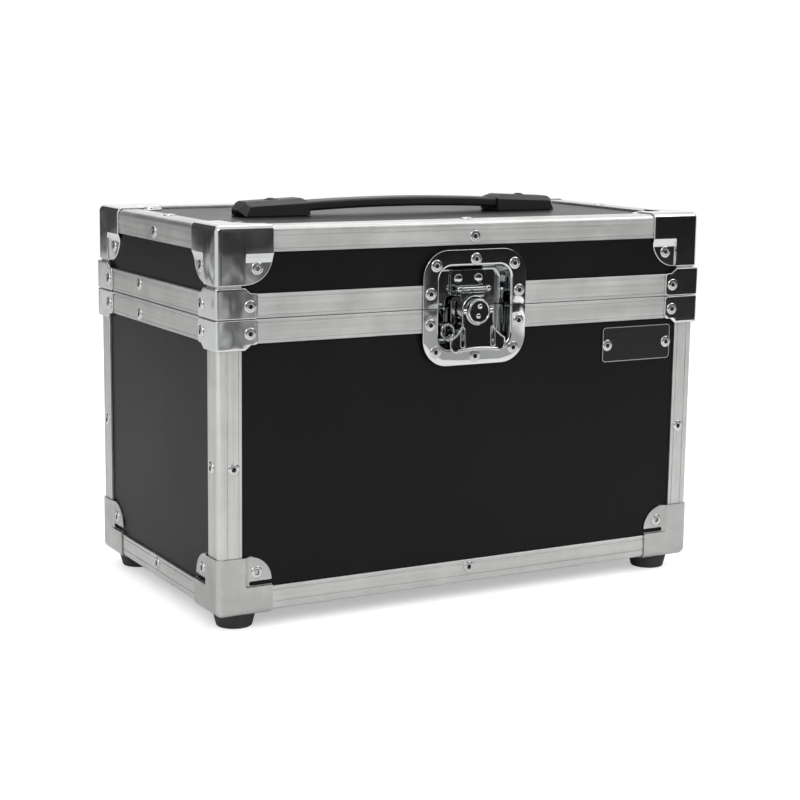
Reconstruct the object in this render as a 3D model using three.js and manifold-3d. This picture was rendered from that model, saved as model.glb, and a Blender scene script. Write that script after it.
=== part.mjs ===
// Small flight case for microphones: black laminate panels in riveted aluminium
// edges, chromed corners, a recessed twist latch and a strap handle on the lid.
// X runs across the front, Y from front to back, Z up from the floor.
import * as THREE from 'three';
import { mergeVertices } from 'three/addons/utils/BufferGeometryUtils.js';
import { RoundedBoxGeometry } from 'three/addons/geometries/RoundedBoxGeometry.js';
import Module from 'manifold-3d';

const wasm = await Module();
wasm.setup();

// Overall sizes in millimetres, over the edge angles
const caseWidth = 399;
const caseDepth = 223;
const bodyHeight = 204.4;
const lidHeight = 62.1;

// Clearances and overruns
const seatGap = 0.2;
const jointGap = 0.6;
const runningGap = 0.35;
const overrun = 6;
const weldDistance = 1e-4;

// Edge angles of the shell
const angleLeg = 17.6;
const angleThickness = 1.5;
const angleRadius = 4.2;
const grooveWidth = 0.8;
const grooveDepth = 0.4;
const grooveFromLip = 2.2;
const grooveFromBend = 2;
const postBite = 2;

// Panels
const panelThickness = 6;
const panelChamfer = 2.7;

// Tongue and groove rims along the joint
const rimHeight = 16.8;
const rimProud = 0.8;
const rimInnerWall = 1.5;
const rimInnerHeight = 13.5;
const rimCornerRadius = 2.2;
const rimTrackDepth = 4.8;
const rimTrackWidth = 5.6;
const rimTongueDepth = 4;
const rimTongueWidth = 2.6;
const rimFloor = 1.5;
const lidRimFloor = 3;

// Sheet metal corners
const capThickness = 1;
const topCapLeg = 41;
const capBracketRoom = 1.6;
const topTongueRadius = 20;
const bottomCapLeg = 40;
const bottomCapHeight = 40;
const bottomTongueRadius = 17.5;
const sunkStart = 19.4;
const sunkSlope = 3.4;
const sunkWall = 1.1;
const sunkCornerRadius = 3;
const reliefSlotLow = 19.7;
const reliefSlotWidth = 3.1;
const reliefSlotStart = 22.7;

// Brackets over the corners of the rims
const bracketLeg = 30;
const bracketTall = 21;
const bracketLow = 17.4;
const bracketStepStart = 20.4;
const bracketStepEnd = 25;
const bracketRadius = 3.4;
const bracketTipRadius = 1.8;

// Rubber feet
const footHeight = 11;
const footTopRadius = 15.4;
const footBottomRadius = 12.8;
const footEdge = 1;
const footInset = 20.5;
const footScrewRadius = 4;
const footScrewDepth = 5;

// Recessed latch dish, split at the joint
const dishWidth = 85.8;
const dishDrop = 41.5;
const dishTopRoom = 3;
const dishRadius = 20;
const dishBorder = 11.8;
const dishFlange = 1.2;
const dishDepth = 12;
const recessWidth = 60;
const recessRadius = 10;
const recessDraft = 2.5;
const recessRoll = 1;
const dishRoom = 0.8;

// Twist latch: places are taken from the dish centre on the flange face
const hubX = -1.5;
const hubY = -2.1;
const basePlateThickness = 1.5;
const basePlateWidth = 34;
const basePlateTop = -0.6;
const basePlateBottom = -26;
const basePlateRadius = 4;
const shaftRadius = 5;
const shaftClearance = 0.2;
const camRadius = 8;
const camThrow = 3;
const camSideClearance = 0.5;
const camRiseClearance = 0.9;
const hookThickness = 1.6;
const hookStandOff = 2.1;
const hookRail = 3;
const hookX = 1.5;
const hookArmWidth = 20;
const hookBarY = 12.6;
const hookBarRadius = 2;
const hookBarLength = 24;
const hookBallRadius = 2.7;
const ringRadius = 10.8;
const ringFace = 2.5;
const discRadius = 9;
const discFace = 8.5;
const discChamfer = 0.6;
const pinRadius = 1;
const pinClearance = 0.12;
const pinDepth = 5.2;
const wingThickness = 1.6;
const wingNeckHalf = 12.4;
const wingHalf = 22.5;
const wingNeckY = -8;
const wingShoulderY = -20;
const wingBottomY = -29;
const wingDip = 1.4;
const wingCornerRadius = 5;
const wingKnuckleRadius = 2;
const wingSlotX = 12.6;
const wingSlotWidth = 3;
const wingSlotTop = -11.5;
const wingSlotLength = 14;
const wingLip = 1.2;

// Keeper in the upper dish
const keeperWidth = 30;
const keeperTopRoom = 4;
const keeperBottom = 7;
const keeperThickness = 1.5;
const keeperLedgeY = 8.2;
const keeperLedgeThickness = 2;
const keeperCornerRadius = 3;

// Padlock eye in the lower dish
const eyeX = -20;
const eyeY = -17.3;
const eyeRadius = 6.2;
const eyeHole = 4.4;
const eyeThickness = 1.6;
const eyeFace = -4.4;
const eyeFootWidth = 7.2;
const eyeFootHeight = 10;

// Leaf hinges at the back
const hingeFromCorner = 89.5;
const hingeWidth = 60;
const hingeLeafHeight = 16;
const hingeLeafThickness = 1.6;
const hingeKnuckleRadius = 3.4;
const hingePinRadius = 1.75;
const hingeBoreRadius = 1.85;
const hingeOut = 3.8;
const hingeKnuckles = 5;
const hingePinHead = 1.2;

// Strap handle on the lid
const handleLength = 278.2;
const handleCapLength = 57.4;
const handleCapWidth = 26;
const handleCapTop = 10;
const handleCapPeak = 1.5;
const handleCapFall = 2;
const handleCapSlope = 9;
const handleCapBevel = 2.2;
const handleCapUndercut = 6;
const handleNoseLift = 5;
const handleNoseLength = 5;
const handleNoseHalf = 6;
const strapWidth = 21;
const strapThickness = 7;
const strapBevel = 1.4;
const strapEndLift = 2.2;
const strapRise = 2.8;
const strapEntry = 12;
const screwCoverLength = 10;
const screwCoverWidth = 7;
const screwCoverDepth = 0.6;
const screwCoverFromTip = 30;

// Foam inside
const foamClearance = 0.5;
const floorPadThickness = 20;
const foamBlockTop = 16;
const lidPadThickness = 15;
const foamLatchNotch = 36;
const pocketRadius = 29;
const pocketPitchX = 118;
const pocketPitchY = 92;
const pocketColumns = 3;
const pocketRows = 2;

// How finely round stretches are divided
const bendSteps = 2;
const arcSteps = 4;
const roundSides = 20;
const hingeSides = 12;
const pocketSides = 20;

// Places worked out from the sizes above
const halfWidth = caseWidth / 2;
const halfDepth = caseDepth / 2;
const shellBottom = footHeight + seatGap + capThickness + seatGap;
const shellHeight = bodyHeight + lidHeight;
const shellTop = shellBottom + shellHeight;
const jointZ = shellBottom + bodyHeight;
const panelInset = angleThickness + seatGap;
const panelDeep = panelInset + panelThickness + seatGap;
const rimWall = rimProud + panelInset - seatGap;
const rimInner = rimProud + panelDeep;
const rimTrackFloor = rimTrackDepth + rimFloor;
const rimFace = halfDepth + rimProud;
const flangeBack = rimFace + seatGap;
const flangeFront = flangeBack + dishFlange;
const hingeX = halfWidth - hingeFromCorner;
const hingeAxisY = rimFace + hingeOut;
const frontReach = flangeFront + discFace;
const backReach = hingeAxisY + hingeKnuckleRadius;
const topCapHeight = lidHeight - bracketTall - capBracketRoom;
const dishRise = lidHeight - angleLeg - dishTopRoom;
const keeperTop = dishRise - dishBorder - keeperTopRoom;
const panelTopZ = shellTop - panelInset;
const bodyWallBottom = shellBottom + panelDeep;
const bodyWallTop = jointZ - rimTrackFloor - seatGap;
const lidWallBottom = jointZ + lidRimFloor + seatGap;
const lidWallTop = shellTop - panelDeep;

// Materials
function metal(color, roughness) {
  return new THREE.MeshStandardMaterial({ color, roughness, metalness: 1 });
}

function matte(color, roughness) {
  return new THREE.MeshStandardMaterial({ color, roughness, metalness: 0 });
}

const aluminium = () => metal(0xc4c4c0, 0.42);
const chrome = () => metal(0xd6d8da, 0.12);
const satinSteel = () => metal(0xc2c2bd, 0.34);
const laminate = () => matte(0x1c1c1c, 0.38);
const rubber = () => matte(0x161616, 0.7);
const handlePlastic = () => matte(0x1b1c1b, 0.45);
const foam = () => matte(0x2a2a2c, 0.95);

// Solids and meshes
function flipFaces(geometry) {
  const corners = geometry.index.array;
  for (let i = 0; i < corners.length; i += 3) {
    [corners[i + 1], corners[i + 2]] = [corners[i + 2], corners[i + 1]];
  }
  return geometry;
}

function solidOf(geometry) {
  const bare = geometry.clone();
  bare.deleteAttribute('normal');
  bare.deleteAttribute('uv');
  const merged = mergeVertices(bare, weldDistance);
  const corners = merged.index.array;
  const faces = [];
  for (let i = 0; i < corners.length; i += 3) {
    const [a, b, c] = [corners[i], corners[i + 1], corners[i + 2]];
    if (a !== b && b !== c && c !== a) faces.push(a, b, c);
  }
  const vertProperties = merged.attributes.position.array;
  const triVerts = new Uint32Array(faces);
  return new wasm.Manifold(new wasm.Mesh({ numProp: 3, vertProperties, triVerts }));
}

function geometryOf(solid) {
  const mesh = solid.getMesh();
  const geometry = new THREE.BufferGeometry();
  geometry.setAttribute('position', new THREE.BufferAttribute(mesh.vertProperties, 3));
  geometry.setIndex(new THREE.BufferAttribute(mesh.triVerts, 1));
  return geometry;
}

function moved(solid, matrix) {
  const geometry = geometryOf(solid).applyMatrix4(matrix);
  return solidOf(matrix.determinant() < 0 ? flipFaces(geometry) : geometry);
}

function shifted(solid, x, y, z) {
  return moved(solid, new THREE.Matrix4().makeTranslation(x, y, z));
}

function mirrored(solid, sideX, sideY, sideZ = 1) {
  return moved(solid, new THREE.Matrix4().makeScale(sideX, sideY, sideZ));
}

function joined(solids) {
  return solids.reduce((whole, next) => whole.add(next));
}

function addPiece(group, name, solid, material) {
  const geometry = geometryOf(solid);
  geometry.computeVertexNormals();
  const mesh = new THREE.Mesh(geometry, material);
  mesh.name = name;
  group.add(mesh);
}

// Axes: a basis sends local x, y and z to the three given directions
const X = new THREE.Vector3(1, 0, 0);
const Y = new THREE.Vector3(0, 1, 0);
const Z = new THREE.Vector3(0, 0, 1);

function basis(alongX, alongY, alongZ) {
  return new THREE.Matrix4().makeBasis(alongX, alongY, alongZ);
}

const prismAxes = { x: basis(Y, Z, X), y: basis(X, Z, Y), z: basis(X, Y, Z) };

function block(low, high) {
  const size = high.map((value, axis) => value - low[axis]);
  const middle = high.map((value, axis) => (value + low[axis]) / 2);
  return solidOf(new THREE.BoxGeometry(...size).translate(...middle));
}

function prism(shape, axis, from, to, steps = arcSteps) {
  const options = { depth: to - from, bevelEnabled: false, curveSegments: steps };
  const geometry = new THREE.ExtrudeGeometry(shape, options).translate(0, 0, from);
  return moved(solidOf(geometry), prismAxes[axis]);
}

function rod(axis, radius, from, to, sides = roundSides) {
  const geometry = new THREE.CylinderGeometry(radius, radius, to - from, sides);
  geometry.rotateX(Math.PI / 2).translate(0, 0, (from + to) / 2);
  return moved(solidOf(geometry), prismAxes[axis]);
}

function roundedRect(width, height, radius) {
  const shape = new THREE.Shape();
  const x = width / 2 - radius;
  const y = height / 2 - radius;
  shape.absarc(x, y, radius, 0, Math.PI / 2);
  shape.absarc(-x, y, radius, Math.PI / 2, Math.PI);
  shape.absarc(-x, -y, radius, Math.PI, 1.5 * Math.PI);
  shape.absarc(x, -y, radius, 1.5 * Math.PI, 2 * Math.PI);
  return shape;
}

function polygon(points) {
  return new THREE.Shape(points.map(([x, y]) => new THREE.Vector2(x, y)));
}

// A convex solid through rings of equal length, stacked along +Z
function loft(rings) {
  const count = rings[0].points.length;
  const positions = rings.flatMap(({ points, z }) => points.flatMap((p) => [p.x, p.y, z]));
  const faces = [];
  const last = (rings.length - 1) * count;
  for (let r = 0; r < rings.length - 1; r += 1) {
    for (let j = 0; j < count; j += 1) {
      const [a, b] = [r * count + j, r * count + ((j + 1) % count)];
      faces.push(a, b, b + count, a, b + count, a + count);
    }
  }
  for (let j = 1; j < count - 1; j += 1) {
    faces.push(0, j + 1, j, last, last + j, last + j + 1);
  }
  const geometry = new THREE.BufferGeometry();
  geometry.setAttribute('position', new THREE.Float32BufferAttribute(positions, 3));
  geometry.setIndex(faces);
  return solidOf(geometry);
}

function ring(shape, z, steps = arcSteps) {
  const points = shape.getPoints(steps);
  if (points[0].distanceTo(points.at(-1)) < weldDistance) points.pop();
  return { points, z };
}

// A mitred rectangular frame; its section is given as inset from the outside and height
function sweepFrame(outline, width, depth) {
  const section = THREE.ShapeUtils.isClockWise(outline) ? [...outline].reverse() : outline;
  const count = section.length;
  const turns = [[1, 1], [-1, 1], [-1, -1], [1, -1]];
  const positions = turns.flatMap(([sideX, sideY]) => section.flatMap((p) => (
    [sideX * (width / 2 - p.x), sideY * (depth / 2 - p.x), p.y]
  )));
  const faces = [];
  turns.forEach((turn, k) => {
    const here = k * count;
    const next = ((k + 1) % turns.length) * count;
    section.forEach((point, j) => {
      const m = (j + 1) % count;
      faces.push(here + j, here + m, next + m, here + j, next + m, next + j);
    });
  });
  const geometry = new THREE.BufferGeometry();
  geometry.setAttribute('position', new THREE.Float32BufferAttribute(positions, 3));
  geometry.setIndex(faces);
  return solidOf(geometry);
}

const corners = [
  { name: 'front_left', sideX: 1, sideY: 1 },
  { name: 'front_right', sideX: -1, sideY: 1 },
  { name: 'rear_left', sideX: 1, sideY: -1 },
  { name: 'rear_right', sideX: -1, sideY: -1 },
];

// Edge angles: corner of the section at the origin, legs along +x and +y
function angleShape() {
  const nearBend = angleRadius + grooveFromBend;
  const nearLip = angleLeg - grooveFromLip - grooveWidth;
  const shape = new THREE.Shape();
  shape.moveTo(0, angleLeg);
  for (const start of [nearLip, nearBend]) {
    shape.lineTo(0, start + grooveWidth);
    shape.lineTo(grooveDepth, start + grooveWidth);
    shape.lineTo(grooveDepth, start);
    shape.lineTo(0, start);
  }
  shape.absarc(angleRadius, angleRadius, angleRadius, Math.PI, 1.5 * Math.PI);
  for (const start of [nearBend, nearLip]) {
    shape.lineTo(start, 0);
    shape.lineTo(start, grooveDepth);
    shape.lineTo(start + grooveWidth, grooveDepth);
    shape.lineTo(start + grooveWidth, 0);
  }
  shape.lineTo(angleLeg, 0);
  shape.lineTo(angleLeg, angleThickness);
  const innerRadius = angleRadius - angleThickness;
  shape.absarc(angleRadius, angleRadius, innerRadius, 1.5 * Math.PI, Math.PI, true);
  shape.lineTo(angleThickness, angleLeg);
  return shape;
}

function shellBlock() {
  const size = [caseWidth, caseDepth, shellHeight];
  const geometry = new RoundedBoxGeometry(...size, bendSteps, angleRadius);
  return solidOf(geometry.translate(0, 0, shellBottom + shellHeight / 2));
}

function cornerPost(from, to) {
  const post = prism(angleShape(), 'z', from, to, bendSteps);
  return shifted(post, -halfWidth, -halfDepth, 0);
}

function bottomEdgeFrame() {
  const outline = angleShape().getPoints(bendSteps);
  const section = outline.map((p) => new THREE.Vector2(p.x, shellBottom + p.y));
  return sweepFrame(section, caseWidth, caseDepth).intersect(shellBlock());
}

function lidEdgeFrame() {
  const outline = angleShape().getPoints(bendSteps);
  const section = outline.map((p) => new THREE.Vector2(p.x, shellTop - p.y));
  const frame = sweepFrame(section, caseWidth, caseDepth).intersect(shellBlock());
  const post = cornerPost(jointZ + rimHeight + seatGap, shellTop - angleLeg + postBite);
  const posts = corners.map(({ sideX, sideY }) => mirrored(post, sideX, sideY));
  return joined([frame, ...posts]);
}

// Panels
function flatPanel(outerZ, innerZ) {
  const width = caseWidth - 2 * panelInset;
  const depth = caseDepth - 2 * panelInset;
  const inward = Math.sign(innerZ - outerZ);
  const rectangle = (cut) => polygon([
    [-width / 2 + cut, -depth / 2 + cut],
    [width / 2 - cut, -depth / 2 + cut],
    [width / 2 - cut, depth / 2 - cut],
    [-width / 2 + cut, depth / 2 - cut],
  ]);
  const rings = [
    ring(rectangle(panelChamfer), outerZ),
    ring(rectangle(0), outerZ + inward * panelChamfer),
    ring(rectangle(0), innerZ),
  ];
  return loft(inward > 0 ? rings : rings.reverse());
}

function frontPanel(from, to) {
  const half = halfWidth - panelInset;
  const outer = -halfDepth + panelInset;
  const inner = outer + panelThickness;
  const outline = polygon([
    [-half + panelChamfer, outer],
    [half - panelChamfer, outer],
    [half, outer + panelChamfer],
    [half, inner],
    [-half, inner],
    [-half, outer + panelChamfer],
  ]);
  return prism(outline, 'z', from, to);
}

function sidePanel(from, to) {
  const outer = -halfWidth + panelInset;
  const reach = halfDepth - panelDeep;
  return block([outer, -reach, from], [outer + panelThickness, reach, to]);
}

// Rims: U channels over the panel edges, with a track below and a tongue above
function rimOuterFace(height) {
  const nearLip = height - grooveFromLip - grooveWidth;
  const points = [[0, jointGap / 2]];
  for (const start of [grooveFromLip, nearLip]) {
    points.push([0, start], [grooveDepth, start]);
    points.push([grooveDepth, start + grooveWidth], [0, start + grooveWidth]);
  }
  return [...points, [0, height], [rimWall, height]];
}

function rimSection(floorDepth, joint, side) {
  const points = [
    ...rimOuterFace(rimHeight),
    [rimWall, floorDepth],
    [rimInner, floorDepth],
    [rimInner, rimInnerHeight],
    [rimInner + rimInnerWall, rimInnerHeight],
    [rimInner + rimInnerWall, jointGap / 2],
    ...joint,
  ];
  return points.map(([inset, away]) => new THREE.Vector2(inset, jointZ + side * away));
}

function rimFrame(section) {
  const width = caseWidth + 2 * rimProud;
  const depth = caseDepth + 2 * rimProud;
  const envelope = roundedRect(width, depth, rimCornerRadius);
  const low = jointZ - rimHeight - overrun;
  const high = jointZ + rimHeight + overrun;
  return sweepFrame(section, width, depth).intersect(prism(envelope, 'z', low, high, bendSteps));
}

function bodyRim() {
  const middle = (rimInner + rimInnerWall) / 2;
  const [near, far] = [middle - rimTrackWidth / 2, middle + rimTrackWidth / 2];
  const track = [[far, jointGap / 2], [far, rimTrackDepth], [near, rimTrackDepth], [near, jointGap / 2]];
  return rimFrame(rimSection(rimTrackFloor, track, -1));
}

function lidRim() {
  const middle = (rimInner + rimInnerWall) / 2;
  const [near, far] = [middle - rimTongueWidth / 2, middle + rimTongueWidth / 2];
  const tongue = [
    [far, jointGap / 2], [far, -rimTongueDepth], [near, -rimTongueDepth], [near, jointGap / 2],
  ];
  return rimFrame(rimSection(lidRimFloor, tongue, 1));
}

// The hole that lets the latch dish through the panels and rims
function dishOpening() {
  const halfX = recessWidth / 2 + dishFlange + dishRoom;
  const room = dishFlange + dishRoom - dishBorder;
  const inner = -flangeBack + dishDepth + dishRoom;
  return block(
    [-halfX, -flangeBack - overrun, jointZ - dishDrop - room],
    [halfX, inner, jointZ + dishRise + room],
  );
}

// Sheet metal corners, made at the origin with legs along +x, +y and +z.
// On each face u runs level and v runs away from the edge below it.
const legPlanes = {
  floor: basis(X, Y, Z),
  side: basis(Y, Z, X),
  front: basis(X, Z, Y),
};

function cornerBlock(offset, size) {
  const geometry = new RoundedBoxGeometry(size, size, size, bendSteps + 1, angleRadius + offset);
  const middle = size / 2 - offset;
  return solidOf(geometry.translate(middle, middle, middle));
}

function tongueMask(reachU, reachV, radius, depth) {
  const shape = new THREE.Shape();
  shape.moveTo(-overrun, -overrun);
  shape.lineTo(reachU, -overrun);
  shape.absarc(reachU - radius, reachV - radius, radius, 0, Math.PI / 2);
  shape.lineTo(-overrun, reachV);
  return prism(shape, 'z', -overrun, depth, arcSteps);
}

function sunkZone(startU, startV, slopeU, slopeV, top, bottom, reach) {
  const rectangle = (u, v) => {
    const [width, height] = [reach - u, reach - v];
    const shape = roundedRect(width, height, sunkCornerRadius);
    const points = shape.getPoints(bendSteps);
    return points.map((p) => new THREE.Vector2(p.x + u + width / 2, p.y + v + height / 2));
  };
  return loft([
    { points: rectangle(startU, startV), z: -overrun },
    { points: rectangle(startU, startV), z: top },
    { points: rectangle(startU + slopeU, startV + slopeV), z: bottom },
  ]);
}

function reliefSlot(reach) {
  const radius = reliefSlotWidth / 2;
  const middle = reliefSlotLow + radius;
  const shape = new THREE.Shape();
  shape.moveTo(reach, middle + radius);
  shape.lineTo(reliefSlotStart + radius, middle + radius);
  shape.absarc(reliefSlotStart + radius, middle, radius, Math.PI / 2, 1.5 * Math.PI);
  shape.lineTo(reach, middle - radius);
  return prism(shape, 'z', -overrun, overrun, bendSteps);
}

function cornerCap({ leg, height, tongueRadius, slotted }) {
  const drop = angleThickness + seatGap;
  const reach = leg + overrun;
  const outerFace = -seatGap - capThickness;
  const startV = slotted ? reliefSlotLow : sunkStart;
  const slopeV = slotted ? 0 : sunkSlope;
  const wallV = slotted ? 0 : sunkWall;
  let skin = cornerBlock(seatGap + capThickness, 2 * reach);
  let core = cornerBlock(seatGap, 2 * reach);
  const masks = [];
  const slots = [];
  for (const [face, plane] of Object.entries(legPlanes)) {
    const reachV = face === 'floor' ? leg : height;
    const outside = sunkZone(sunkStart, startV, sunkSlope, slopeV, outerFace, outerFace + drop, reach);
    const inside = sunkZone(
      sunkStart + sunkWall, startV + wallV, sunkSlope, slopeV, -seatGap, drop - seatGap, reach,
    );
    skin = skin.subtract(moved(outside, plane));
    core = core.subtract(moved(inside, plane));
    masks.push(moved(tongueMask(leg, reachV, tongueRadius, drop - seatGap), plane));
    slots.push(moved(reliefSlot(reach), plane));
  }
  const cap = skin.subtract(core).intersect(joined(masks));
  return slotted ? cap.subtract(joined(slots)) : cap;
}

function topCap() {
  const cap = cornerCap({
    leg: topCapLeg, height: topCapHeight, tongueRadius: topTongueRadius, slotted: false,
  });
  return shifted(mirrored(cap, 1, 1, -1), -halfWidth, -halfDepth, shellTop);
}

function bottomCap() {
  const cap = cornerCap({
    leg: bottomCapLeg, height: bottomCapHeight, tongueRadius: bottomTongueRadius, slotted: true,
  });
  return shifted(cap, -halfWidth, -halfDepth, shellBottom);
}

// Brackets over the rim corners, made above the joint and mirrored below it
function bracketOutline() {
  const low = jointGap / 2;
  const tip = bracketTipRadius;
  const shape = new THREE.Shape();
  shape.moveTo(-overrun, low);
  shape.lineTo(bracketLeg - tip, low);
  shape.absarc(bracketLeg - tip, low + tip, tip, -Math.PI / 2, 0);
  shape.absarc(bracketLeg - tip, bracketLow - tip, tip, 0, Math.PI / 2);
  shape.lineTo(bracketStepEnd, bracketLow);
  shape.lineTo(bracketStepStart, bracketTall);
  shape.lineTo(-overrun, bracketTall);
  return shape;
}

function rimBracket(side) {
  const outer = -seatGap - capThickness;
  const bend = bracketRadius;
  const section = new THREE.Shape();
  section.moveTo(outer, bracketLeg);
  section.lineTo(outer, outer + bend);
  section.absarc(outer + bend, outer + bend, bend, Math.PI, 1.5 * Math.PI);
  section.lineTo(bracketLeg, outer);
  section.lineTo(bracketLeg, -seatGap);
  section.absarc(outer + bend, outer + bend, bend - capThickness, 1.5 * Math.PI, Math.PI, true);
  section.lineTo(-seatGap, bracketLeg);
  const strip = prism(section, 'z', 0, bracketTall, bendSteps);
  const mask = prism(bracketOutline(), 'z', -overrun, 0, bendSteps);
  const legs = joined([moved(mask, legPlanes.side), moved(mask, legPlanes.front)]);
  const bracket = mirrored(strip.intersect(legs), 1, 1, side);
  return shifted(bracket, -halfWidth - rimProud, -halfDepth - rimProud, jointZ);
}

// Rubber feet
function foot() {
  const profile = [
    [0, footScrewDepth],
    [footScrewRadius, footScrewDepth],
    [footScrewRadius, 0],
    [footBottomRadius - footEdge, 0],
    [footBottomRadius, footEdge],
    [footTopRadius, footHeight],
    [0, footHeight],
  ].map(([r, z]) => new THREE.Vector2(r, z));
  const geometry = new THREE.LatheGeometry(profile, roundSides).rotateX(Math.PI / 2);
  return shifted(solidOf(geometry), -halfWidth + footInset, -halfDepth + footInset, 0);
}

// Latch dish: local x across, y up from the joint, z out from the flange face
const latchPlace = basis(X, Z, Y.clone().negate()).setPosition(0, -flangeFront, jointZ);

function dishHalf(side) {
  const reach = side > 0 ? dishRise : dishDrop;
  const flange = prism(roundedRect(dishWidth, 2 * reach, dishRadius), 'z', -dishFlange, 0);
  const recess = 2 * (reach - dishBorder);
  const level = (grow, z) => ring(
    roundedRect(recessWidth + 2 * grow, recess + 2 * grow, recessRadius + grow),
    z,
  );
  const cup = loft([
    level(dishFlange - recessDraft, -dishDepth - dishFlange),
    level(dishFlange, -dishFlange),
    level(dishFlange, -dishFlange / 2),
  ]);
  const hollow = loft([
    level(-recessDraft, -dishDepth),
    level(0, -recessRoll),
    level(recessRoll, 0),
    level(recessRoll, overrun),
  ]);
  const half = block(
    [-dishWidth, side > 0 ? jointGap / 2 : -reach, -dishDepth - overrun],
    [dishWidth, side > 0 ? reach : -jointGap / 2, overrun],
  );
  return moved(joined([flange, cup]).subtract(hollow).intersect(half), latchPlace);
}

// Depths of the latch pieces, from the flange face
const dishFloor = -dishDepth;
const plateBack = dishFloor + seatGap;
const plateFace = plateBack + basePlateThickness;
const hookBack = plateFace + hookStandOff;
const hookFront = hookBack + hookThickness;

function basePlate() {
  const height = basePlateTop - basePlateBottom;
  const outline = roundedRect(basePlateWidth, height, basePlateRadius);
  const plate = shifted(prism(outline, 'z', plateBack, plateFace), hubX, basePlateTop - height / 2, 0);
  const bore = rod('z', shaftRadius + shaftClearance, plateBack - overrun, plateFace + overrun);
  return moved(plate.subtract(shifted(bore, hubX, hubY, 0)), latchPlace);
}

function latchHub() {
  const cam = rod('z', camRadius, hookBack - runningGap / 2, hookFront + runningGap / 2);
  const body = joined([
    rod('z', shaftRadius, plateBack, hookBack),
    shifted(cam, 0, -camThrow, 0),
    rod('z', ringRadius, hookFront + runningGap / 2, ringFace),
    rod('z', discRadius, ringFace - discChamfer, discFace - discChamfer),
    discCrown(),
  ]);
  const bore = shifted(rod('x', pinRadius + pinClearance, -ringRadius, ringRadius), 0, 0, pinDepth);
  return moved(shifted(body.subtract(bore), hubX, hubY, 0), latchPlace);
}

function discCrown() {
  const crown = new THREE.CylinderGeometry(
    discRadius - discChamfer, discRadius, discChamfer, roundSides,
  );
  return solidOf(crown.rotateX(Math.PI / 2).translate(0, 0, discFace - discChamfer / 2));
}

function wingPin() {
  const half = wingNeckHalf + seatGap;
  const pin = rod('x', pinRadius, -half, half, roundSides / 2);
  return moved(shifted(pin, hubX, hubY, pinDepth), latchPlace);
}

function wingOutline() {
  const inner = discRadius + runningGap + seatGap;
  const shape = new THREE.Shape();
  shape.moveTo(inner, 0);
  shape.absarc(0, 0, inner, 0, Math.PI, true);
  shape.lineTo(-wingNeckHalf, 0);
  shape.lineTo(-wingNeckHalf, wingNeckY);
  shape.quadraticCurveTo(-wingNeckHalf, wingShoulderY / 2 + wingNeckY / 2, -wingHalf, wingShoulderY);
  shape.absarc(
    -wingHalf + wingCornerRadius, wingBottomY + wingCornerRadius, wingCornerRadius,
    Math.PI, 1.5 * Math.PI,
  );
  shape.quadraticCurveTo(
    0, wingBottomY + 2 * wingDip, wingHalf - wingCornerRadius, wingBottomY,
  );
  shape.absarc(
    wingHalf - wingCornerRadius, wingBottomY + wingCornerRadius, wingCornerRadius,
    1.5 * Math.PI, 2 * Math.PI,
  );
  shape.lineTo(wingHalf, wingShoulderY);
  shape.quadraticCurveTo(wingNeckHalf, wingShoulderY / 2 + wingNeckY / 2, wingNeckHalf, wingNeckY);
  shape.lineTo(wingNeckHalf, 0);
  return shape;
}

function latchWing() {
  const back = pinDepth - wingThickness / 2;
  const plate = prism(wingOutline(), 'z', back, back + wingThickness, arcSteps);
  const slotShape = roundedRect(wingSlotWidth, wingSlotLength, wingSlotWidth / 2);
  const slot = prism(slotShape, 'z', back - overrun, back + wingThickness + overrun, bendSteps);
  const slotY = wingSlotTop - wingSlotLength / 2;
  const inner = discRadius + runningGap + seatGap;
  const knuckle = rod('x', wingKnuckleRadius, inner, wingNeckHalf, roundSides / 2);
  const bore = rod('x', pinRadius + pinClearance, inner - overrun, wingNeckHalf + overrun, roundSides / 2);
  const lipShape = polygon([
    [wingBottomY + wingDip, back + wingThickness / 2],
    [wingBottomY + wingDip + wingThickness, back + wingThickness / 2],
    [wingBottomY + wingDip + wingThickness, back + wingThickness + wingLip],
    [wingBottomY + wingDip, back + wingThickness + wingLip],
  ]);
  const lipHalf = wingHalf - wingCornerRadius;
  const lip = prism(lipShape, 'x', -lipHalf, lipHalf);
  const solid = joined([
    plate,
    lip,
    shifted(knuckle, 0, 0, pinDepth),
    shifted(mirrored(knuckle, -1, 1), 0, 0, pinDepth),
  ]).subtract(joined([
    shifted(slot, wingSlotX, slotY, 0),
    shifted(slot, -wingSlotX, slotY, 0),
    shifted(bore, 0, 0, pinDepth),
    shifted(mirrored(bore, -1, 1), 0, 0, pinDepth),
  ]));
  return moved(shifted(solid, hubX, hubY, 0), latchPlace);
}

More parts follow.
